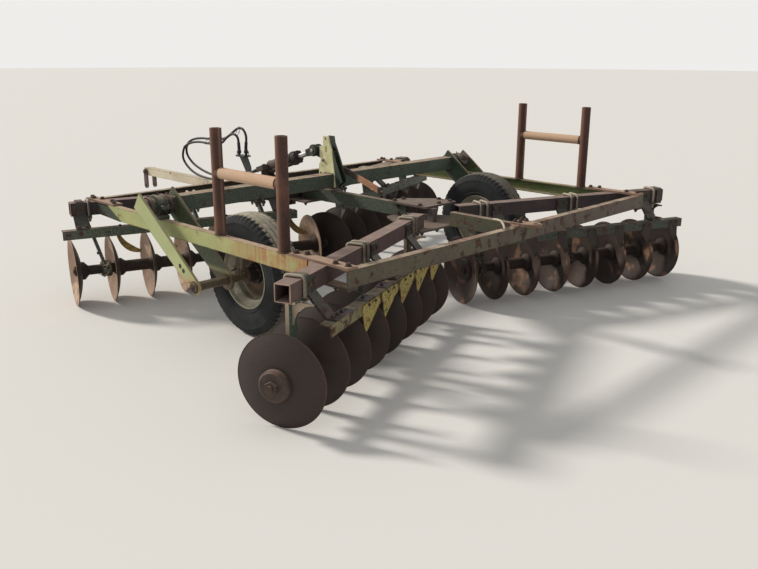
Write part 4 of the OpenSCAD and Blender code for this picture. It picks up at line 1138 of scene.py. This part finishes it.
# Outlines of rear scrapers as (u, z) from their disc and the bar's low edge, one with a ragged lower side
REAR_BLADE = [(-30, 46), (96, 48), (150, 44), (168, 20), (160, 2), (128, -14), (112, -34), (84, -58),
              (66, -80), (40, -104), (26, -98), (14, -70), (0, -46), (-14, -22), (-34, 4), (-38, 24)]
PLAIN_BLADE = [(12, 48), (82, 48), (82, 2), (76, -26), (16, -104), (2, -97), (2, -71), (12, -4)]
WORN_BELOW = 30
BLADE_T = 4
LEAF_W = 46
LEAF_R = 170
LEAF_STEPS = 18
LEAF_TURN = 80
LEAF_TWIST = 62


def rear_blades(gang):
    """Flat blades on the back of the bar, each worn in its own way below and bent forwards there."""
    outline = REAR_BLADE if gang is REAR_LEFT else PLAIN_BLADE
    mesh = bmesh.new()
    for i in gang.scrapers:
        wear = [(random.uniform(-5, 5), random.uniform(-6, 6)) for _ in outline]
        loops = []
        for depth in (1, 1 + BLADE_T):
            places = []
            for (u, z), (du, dz) in zip(outline, wear):
                bend = 0.16 * max(0.0, -(z + dz))
                if z >= WORN_BELOW:
                    du = dz = 0
                places.append((i * DISC_PITCH + u + du, gang.bar_v - depth + bend, gang.bar_z + z + dz))
            loops.append(vertices(mesh, gang.matrix, places))
        skin(mesh, *loops)
        for loop in loops:
            bmesh.ops.triangulate(mesh, faces=[mesh.faces.new(loop)])
    return mesh


def front_leaves(gang):
    """Curved leaves that twist from the bar's top towards the hollow of each disc."""
    mesh = bmesh.new()
    for i in gang.scrapers:
        rings = []
        for k in range(LEAF_STEPS + 1):
            share = k / LEAF_STEPS
            turn = math.radians(180 + LEAF_TURN * share)
            lean = math.radians(LEAF_TWIST) * min(1.0, share * 1.6)
            out = Vector((math.cos(turn), 0, math.sin(turn)))
            wide = Vector((0, math.cos(lean), 0)) + out * math.sin(lean)
            thick = out * math.cos(lean) - Vector((0, math.sin(lean), 0))
            half = LEAF_W / 2 * (1 if share < 0.75 else 1 - (share - 0.75) * 2.2)
            middle = Vector((i * DISC_PITCH - 10 + LEAF_R * math.cos(turn), gang.bar_v + BAR_T + LEAF_W / 2,
                             gang.bar_top - BAR_T + LEAF_R * math.sin(turn)))
            rings.append(vertices(mesh, gang.matrix, [middle + wide * a * half + thick * b * BLADE_T / 2
                                                      for a, b in CORNERS]))
        loft(mesh, rings)
    return mesh


def scraper_pads(gang):
    """Slotted pads on the top of a bar, with their nuts."""
    mesh, slots = bmesh.new(), bmesh.new()
    top = gang.bar_top
    for i in range(gang.first - 1, DISC_COUNT - 1):
        start = i * DISC_PITCH + 60
        box(mesh, gang.matrix, (start - 46, gang.bar_v - 2, top), (start + 46, gang.bar_v + 58, top + 6), 2)
        for shift in (-22, 22):
            outline = slot_outline(start + shift, gang.bar_v + 30, 15, 6)
            loft(slots, [vertices(slots, gang.matrix, [(u, v, z) for u, v in outline])
                         for z in (top + 6, top + 6 + SLOT_MARK)])
        bolt(slots, gang.at(start - 22, gang.bar_v + 30, top + 6), UP, 7.0, 8.0, stud=6.0)
    add_mesh("scraper_pads", mesh, "frame", "pad_iron")
    add_mesh("scraper_pad_slots", slots, "frame", "black_iron")


def scraper_blades():
    made = []
    for gang in GANGS:
        mesh = rear_blades(gang) if gang.is_rear else front_leaves(gang)
        made.append(add_mesh("scrapers_" + gang.name, mesh, "frame", "scrapers"))
    for piece in made:
        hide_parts("scrapers")


def tube_ends(gang):
    """Worn paler lips round the open outer end of a gang's tube."""
    mesh = bmesh.new()
    u = 45 if gang is FRONT_RIGHT else 30
    half = TUBE_HALF - 1.4
    heights = {-1: FRAME_BOTTOM + 2, 1: FRAME_TOP - 2}
    weld_loop(mesh, [gang.at(u, gang.tube_v + a * half, heights[b]) for a, b in CORNERS], 2.2)
    look = "lip_rust" if gang.side < 0 else "plum_rust"
    add_mesh("tube_lip_" + gang.name, mesh, "frame", look)


def disc_rims(gang):
    """Worn thin rims of the discs of a gang."""
    mesh = bmesh.new()
    for i in range(DISC_COUNT):
        disc = gang.matrix @ Matrix.Translation(Vector((i * DISC_PITCH, 0, DISC_R)) * MM) @ Matrix.Rotation(
            gang.hollow * math.pi / 2, 4, "Y")
        collar(mesh, disc, DISC_R - 1.6, DISC_R - 0.6, -2.6, 0.2, 96, 0.3)
    add_mesh("disc_rims_" + gang.name, mesh, "gang_" + gang.name, "bolt_rust")


# Lift
CAP_NEAR, CAP_FAR, CAP_HALF = 54, 88, 24
JOURNAL_R = 44
ARM_INNER_X = 1424
SPINDLE_R = 25


def lift_bearings():
    caps, bolts = bmesh.new(), bmesh.new()
    for side in SIDES:
        x = side * RAIL_MID_X
        centre = upright(x, ROCK_Y, ROCK_Z)
        for end in SIDES:
            near, far = sorted((end * CAP_NEAR, end * CAP_FAR))
            box(caps, centre, (-CAP_HALF, near, -12), (CAP_HALF, far, 12), 3)
            bolt(bolts, point(x, ROCK_Y + end * 74, ROCK_Z + 12), UP, 10.0, 10.0, stud=5.0)
            bolt(bolts, point(x, ROCK_Y + end * 74, ROCK_Z - 12), DOWN, 10.0, 9.0)
            for shift in (-16, 16):
                bolt(bolts, point(x + shift, ROCK_Y + end * 52, FRAME_TOP + 22), UP, 8.0, 8.0, washer=False)
        for shift in (-CAP_HALF, CAP_HALF):
            collar(caps, centre @ TURN_Y, 58, 65, shift - 5, shift + 5, 48)
        turned(bolts, aimed(point(x, ROCK_Y, ROCK_Z + 60), UP),
               [(6, -2), (6, 5), (3.5, 6), (3.5, 11), (5, 13), (2, 16)], 12)
    add_mesh("lift_caps", caps, "frame", "teal_green")
    add_mesh("lift_bolts", bolts, "frame", "bolt_rust")


def lift_collars():
    """Collars by the bearings, and welds round the square shaft at the arms and the mast."""
    mesh, welds = bmesh.new(), bmesh.new()
    reach = ROCK_HALF + 1
    for side in SIDES:
        for x, width in ((1380, 24), (1262, 20)):
            low, high = sorted((0, side * width))
            collar(mesh, upright(side * x, ROCK_Y, ROCK_Z) @ TURN_Y, JOURNAL_R + 0.2, 58, low, high, 48, 3)
            bolt(mesh, point(side * (x + width / 2), ROCK_Y, ROCK_Z + 58), UP, 7.0, 7.0, washer=False)
        for x in (1220.5, 1237.5, 18, 30):
            corners = [point(side * x, ROCK_Y + a * reach, ROCK_Z + b * reach) for a, b in CORNERS]
            weld_loop(welds, corners, 4.5)
    add_mesh("lift_collars", mesh, "rockshaft", "plum_rust")
    add_mesh("lift_welds", welds, "rockshaft", "weld")


def arm_fittings():
    mesh, holes = bmesh.new(), bmesh.new()
    for side in SIDES:
        spindle_end = ARM_OUT_X + 12
        turned(mesh, outwards(side, spindle_end, AXLE_Y, AXLE_Z),
               [(SPINDLE_R, -0.5), (SPINDLE_R, 3), (SPINDLE_R - 3, 5)], 28)
        collar(mesh, outwards(side, ARM_OUT_X, AXLE_Y, AXLE_Z), SPINDLE_R + 0.2, 35, 0, 6, 32)
        bolt(mesh, point(side * (spindle_end + 5), AXLE_Y, AXLE_Z), (side, 0, 0), 10.0, 9.0, washer=False)
        for share in (0.74, 0.8):
            y = ROCK_Y + (AXLE_Y - ROCK_Y) * share
            z = ROCK_Z + (AXLE_Z - ROCK_Z) * share
            turned(holes, outwards(side, ARM_OUT_X, y, z), [(13, 0), (13, 0.8)], 28)
        for x in (ARM_INNER_X - 1, 1237):
            weld_ring(mesh, outwards(side, x, AXLE_Y, AXLE_Z), SPINDLE_R + 1)
        collar(mesh, outwards(side, ARM_INNER_X, ROCK_Y, ROCK_Z), JOURNAL_R, 50, -4, 0.5, 40, 2)
    add_mesh("arm_fittings", mesh, "rockshaft", "strap_rust")
    add_mesh("arm_holes", holes, "rockshaft", "black_iron")


# Ends of the ram in the machine's middle plane, as (y, z)
RAM_PIN = (150, 712)
ROD_PIN = (-395, 893)
MAST_OUT_X = 29
LOCK_TIP = [(27, -990, 650), (45, -962, 702)]


def mast_fittings():
    mesh, black = bmesh.new(), bmesh.new()
    bolt(mesh, point(-MAST_OUT_X, -498, 838), (-1, 0, 0), 9.0, 12.0)
    bolt(mesh, point(MAST_OUT_X, -498, 838), X_AXIS, 9.0, 9.0, stud=8.0)
    turned(black, outwards(-1, MAST_OUT_X, -475, 747), [(9, 0), (9, 0.8)], 24)
    for side in SIDES:
        turned(black, outwards(side, MAST_OUT_X, -526, 984), [(7, 0), (7, 0.8)], 24)
        weld(mesh, point(side * 19, -554, 842), point(side * 19, -500, 846), 3.0)
        turned(mesh, outwards(side, 40, *ROD_PIN), [(12, -1), (12, 2), (9, 5)], 24)
        cotter = point(side * 40, *ROD_PIN) - Vector((side * 4 * MM, 0, 0))
        rod(mesh, [cotter + Vector((0, 0, end * MM)) for end in (-19, 0, 19)], 2.2, 8)
    weld(mesh, point(44, -592, 812), point(30, -590, 812), 3.0)
    bolt(black, point(43, -960, 683), X_AXIS, 12.0, 8.0)
    box(black, upright(0, 0, 0), *LOCK_TIP, 2)
    add_mesh("mast_fittings", mesh, "rockshaft", "nickel")
    add_mesh("mast_dark_fittings", black, "rockshaft", "black_iron")


# Ram and hoses: the ram's oil pipe, in the frame of the ram
OIL_PIPE = [(-32, -14, 60), (-44, -30, 90), (-40, -36, 200), (-34, -34, 300), (-26, -30, 345)]
PIPE_ENDS = [(-26, -30, 345), (-32, -14, 62)]
BARREL_R = 44.5


def ram_frame():
    """Frame of the ram in metres: Z runs from its base pin to its rod pin, X to the right."""
    start = point(0, *RAM_PIN)
    axis = (point(0, *ROD_PIN) - start).normalized()
    right = Vector(X_AXIS)
    return Matrix.Translation(start) @ Matrix((right, axis.cross(right), axis)).transposed().to_4x4()


def ram_fittings():
    mesh, black = bmesh.new(), bmesh.new()
    ram = ram_frame()
    turn = ram.to_3x3()

    def at_ram(x, y, z):
        return ram @ (Vector((x, y, z)) * MM)

    def hexagon(x, y, z, profile):
        turned(black, ram @ Matrix.Translation(Vector((x, y, z)) * MM), profile, 6)

    for z, radius, width in ((48, 48, 9), (318, 50, 12)):
        collar(mesh, ram, BARREL_R, radius, z, z + width, 48, 3)
    for x in (-20, 20):
        for y in (-30, 30):
            bolt(black, at_ram(x, y, 375), turn @ Vector(UP), 4.5, 3.0, washer=False)
    rod(black, [at_ram(*place) for place in OIL_PIPE], 6)
    for place in PIPE_ENDS:
        hexagon(*place, [(9, -8), (10, -7), (10, 7), (9, 8)])
    for x in (LONG_X, SHORT_X):
        hexagon(x, 0, -14, [(13, 0), (14, 1), (14, 11), (13, 12)])
    bolt(black, at_ram(0, -42, 350), turn @ Vector(REARWARDS), 8.0, 7.0)
    add_mesh("ram_bands", mesh, "ram_barrel", "ram_brown")
    add_mesh("ram_fittings", black, "ram_barrel", "black_iron")


def sleeve(mesh, line, first, last):
    """A crimped sleeve on a hose, between two places in its line."""
    places = [line[first].lerp(line[last], i / 10) for i in range(11)]
    radii = [10.4 if i in (0, 10) else 12.4 - i % 2 for i in range(11)]
    rod(mesh, places, radii, 16)


def hose_fittings():
    mesh, ties = bmesh.new(), bmesh.new()
    long_line = smooth_route(LONG_X, LONG_ROUTE, HOSE_STEPS)
    short_line = smooth_route(SHORT_X, SHORT_ROUTE, HOSE_STEPS)
    for line in (long_line, short_line):
        sleeve(mesh, line, 1, 4)
        sleeve(mesh, line, -1, -4)
        turned(mesh, Matrix.Translation(line[-1]), [(11, -2), (13, -1), (13, 9), (11, 10)], 6)
    for x, y in ((LONG_X, 330), (SHORT_X, 372)):
        for z in (15, 20, 25, 30):
            collar(mesh, upright(x, y, 796), 14, 16.4, z, z + 3, 28, 0.8)
    for x, y in ((-48, 312), (-98, 388)):
        rod(ties, [point(x, y, 790), point(x, y, 812), point(x - 2, y - 2, 826)], [2.5, 2.5, 1.2], 8)
    for step in (60, 78, 104):
        tie(ties, long_line, short_line, step)
    add_mesh("hose_ends", mesh, "frame", "gas_black")
    add_mesh("hose_ties", ties, "frame", "black_iron")


TIE_STEPS = 24
TIE_GRIP = HOSE_R + 1.4


def tie(mesh, long_line, short_line, step):
    """A plastic tie round the two hoses, where the short one passes the long one's point."""
    a = long_line[step]
    b = min(short_line, key=lambda p: (p - a).length)
    way = (long_line[step + 1] - long_line[step - 1]).normalized()
    reach = (b - a) - (b - a).dot(way) * way
    across = reach.normalized()
    side = way.cross(across).normalized()
    grip = TIE_GRIP * MM
    places = []
    for i in range(TIE_STEPS):
        turn = 2 * math.pi * i / TIE_STEPS
        centre = a if math.cos(turn) < 0 else a + across * reach.length
        places.append(centre + grip * (math.cos(turn) * across + math.sin(turn) * side))
    loop_rod(mesh, places, 1.8, 6)
    lock = aimed(a + across * reach.length / 2 + side * grip, side)
    turned(mesh, lock, [(4, -2), (4, 4)], 4)


def clevis_fittings():
    """Head, washer and split pin of the bolt on which the double clevis hangs."""
    mesh = bmesh.new()
    for side, profile in ((-1, [(17, -6), (17, 1), (14, 4)]), (1, [(12, -1), (12, 2), (9, 4)])):
        turned(mesh, outwards(side, 55, 1850, 510), profile, 24)
    split_pin = [(51, 1850, 488), (51, 1850, 510), (51, 1850, 536), (54, 1846, 541)]
    rod(mesh, [point(*place) for place in split_pin], 2.6, 8)
    add_mesh("clevis_fittings", mesh, "hitch_clevis", "bolt_rust")


# Wheels
WHEEL_NUTS = 5
NUT_CIRCLE_R = 49


def wheel_fittings(side, name):
    mesh = bmesh.new()
    for i in range(WHEEL_NUTS):
        turn = 2 * math.pi * i / WHEEL_NUTS
        y, z = AXLE_Y + NUT_CIRCLE_R * math.cos(turn), AXLE_Z + NUT_CIRCLE_R * math.sin(turn)
        bolt(mesh, point(side * (WHEEL_X - 4), y, z), (side, 0, 0), 7.0, 9.0, washer=False, stud=5.0)
        inner = aimed(point(side * (WHEEL_X - 36), y, z), (-side, 0, 0))
        turned(mesh, inner, [(6, -0.5), (6, 6), (4, 8)], 12)
    for x in (WHEEL_X + 60, WHEEL_X + 52):
        collar(mesh, outwards(side, x, AXLE_Y, AXLE_Z), 21.5, 43, -5, 0.6, 36)
    valve = point(side * (WHEEL_X + 14), AXLE_Y + 150, AXLE_Z)
    rod(mesh, [valve, valve + Vector((side * 20, -8, 0)) * MM, valve + Vector((side * 42, -12, 0)) * MM],
        [4.5, 3.6, 3.2])
    add_mesh("hub_bolts_" + name, mesh, "wheel_" + name, "bolt_rust")


# Half of a tyre's section as (radius, x) from its middle plane
TYRE_PROFILE = [(190, -70), (196, -74), (204, -79), (207, -83), (212, -83.5), (215, -82), (226, -87),
                (240, -90.5), (258, -92), (280, -91.5), (296, -89.5), (299, -90.5), (303, -89.5),
                (306, -87.5), (316, -84), (328, -77), (336, -70), (340.5, -62), (343, -52),
                (344.5, -49), (338, -48), (338, -44), (345.5, -43), (347.5, -32), (348.5, -19),
                (341, -18), (341, -14), (349, -13), (349.6, -4)]
TREAD_TURNS = 240
SHOULDER_CUT = 6.0
RIB_CUT = 3.0


def tread_radius(radius, x, i):
    """Radius of a tyre's point, lower in the cuts of its shoulders and ribs."""
    if 310 < radius < 345 and abs(x) > 50 and i % 4 == 0:
        return radius - SHOULDER_CUT
    if abs(x) < 45 and radius > 342 and (i + int(abs(x))) % 6 == 0:
        return radius - RIB_CUT
    return radius


def tyre(side, name):
    """A worn road tyre: five ribs, shoulder cuts and beads on its walls."""
    mesh = bmesh.new()
    rings = []
    for r, x in TYRE_PROFILE + [(r, -x) for r, x in reversed(TYRE_PROFILE)]:
        circle = []
        for i in range(TREAD_TURNS):
            turn = 2 * math.pi * i / TREAD_TURNS
            radius = tread_radius(r, x, i)
            circle.append(mesh.verts.new(point(side * WHEEL_X + x, AXLE_Y + radius * math.cos(turn),
                                               AXLE_Z + radius * math.sin(turn))))
        rings.append(circle)
    loft(mesh, rings, closed=True)
    piece = add_mesh("tyre_tread_" + name, mesh, "wheel_" + name, "tyre_rubber")
    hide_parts("tyre_" + name)
    for face in piece.data.polygons:
        face.use_smooth = True
    piece.data.set_sharp_from_angle(angle=math.radians(40))


# Twisted wire on the front left standard, in its gang's frame from its bearing, and a bent rod
# that lies by the rear hitch
WIRES = [
    [(-8, -64, 243), (6, -74, 262), (18, -60, 240), (10, -70, 214), (-12, -76, 196), (-34, -66, 186),
     (-58, -48, 200)],
    [(-26, -60, 250), (-4, -66, 256), (14, -58, 276)],
]
BENT_ROD = [(-60, -1960, 652), (-72, -2000, 656), (-96, -2040, 658), (-140, -2086, 654),
            (-190, -2132, 644)]


def wires():
    mesh = bmesh.new()
    middle = FRONT_LEFT.bearing(0)
    for wire in WIRES:
        rod(mesh, [FRONT_LEFT.at(middle + u, v, z) for u, v, z in wire], 2.0, 8)
    rod(mesh, [point(*place) for place in BENT_ROD], 6.0)
    add_mesh("loose_wire", mesh, "frame", "bright_wire")


frame_bolts()
frame_welds()
hitch_pieces()
for gang in GANGS:
    clamps(gang)
    bearings(gang)
    scraper_bolts(gang)
    tube_ends(gang)
    disc_rims(gang)
scraper_blades()
scraper_pads(REAR_LEFT)
lift_bearings()
lift_collars()
arm_fittings()
mast_fittings()
ram_fittings()
hose_fittings()
clevis_fittings()
wires()
for wheel_side, wheel_name in ((-1, "left"), (1, "right")):
    tyre(wheel_side, wheel_name)
    wheel_fittings(wheel_side, wheel_name)


# Floor, light and background
FLOOR_R = 60
FLOOR_COLOUR = (0.80, 0.79, 0.77, 1.0)
FLOOR_DROP = 0.0005
WORLD_COLOUR = (1.0, 0.99, 0.97, 1.0)
WORLD_LIGHT = 0.45
WORLD_SEEN = 0.86
SUN_COLOUR = (1.0, 0.95, 0.87)
SUN_LIGHT = 3.0
SUN_ANGLE = 8
SUN_FROM = (-0.30, 0.80, 0.52)


def make_floor():
    mesh = bmesh.new()
    bmesh.ops.create_circle(mesh, cap_ends=True, segments=96, radius=FLOOR_R)
    data = bpy.data.meshes.new("floor")
    mesh.to_mesh(data)
    mesh.free()
    floor = bpy.data.objects.new("floor", data)
    floor.location.z = -FLOOR_DROP
    bpy.context.collection.objects.link(floor)
    data.materials.append(Graph("floor_pale").finish(FLOOR_COLOUR, 0.9, specular=0.1))


def make_world():
    """A soft even light, and a paler sky for the camera, for mirrors and through glass."""
    world = bpy.data.worlds.new("studio")
    bpy.context.scene.world = world
    world.use_nodes = True
    tree = world.node_tree
    background = tree.nodes["Background"]
    path = tree.nodes.new("ShaderNodeLightPath")
    seen = path.outputs["Is Camera Ray"]
    for kind in ("Is Glossy Ray", "Is Transmission Ray"):
        either = tree.nodes.new("ShaderNodeMath")
        either.operation = "MAXIMUM"
        tree.links.new(seen, either.inputs[0])
        tree.links.new(path.outputs[kind], either.inputs[1])
        seen = either.outputs[0]
    strength = tree.nodes.new("ShaderNodeMapRange")
    strength.inputs["To Min"].default_value = WORLD_LIGHT
    strength.inputs["To Max"].default_value = WORLD_SEEN
    tree.links.new(seen, strength.inputs["Value"])
    background.inputs["Color"].default_value = WORLD_COLOUR
    tree.links.new(strength.outputs["Result"], background.inputs["Strength"])


def make_sun():
    data = bpy.data.lights.new("sun", "SUN")
    data.energy = SUN_LIGHT
    data.angle = math.radians(SUN_ANGLE)
    data.color = SUN_COLOUR
    sun = bpy.data.objects.new("sun", data)
    sun.rotation_euler = Vector(SUN_FROM).to_track_quat("Z", "Y").to_euler()
    bpy.context.collection.objects.link(sun)


make_floor()
make_world()
make_sun()

bpy.context.scene.view_settings.view_transform = "Standard"
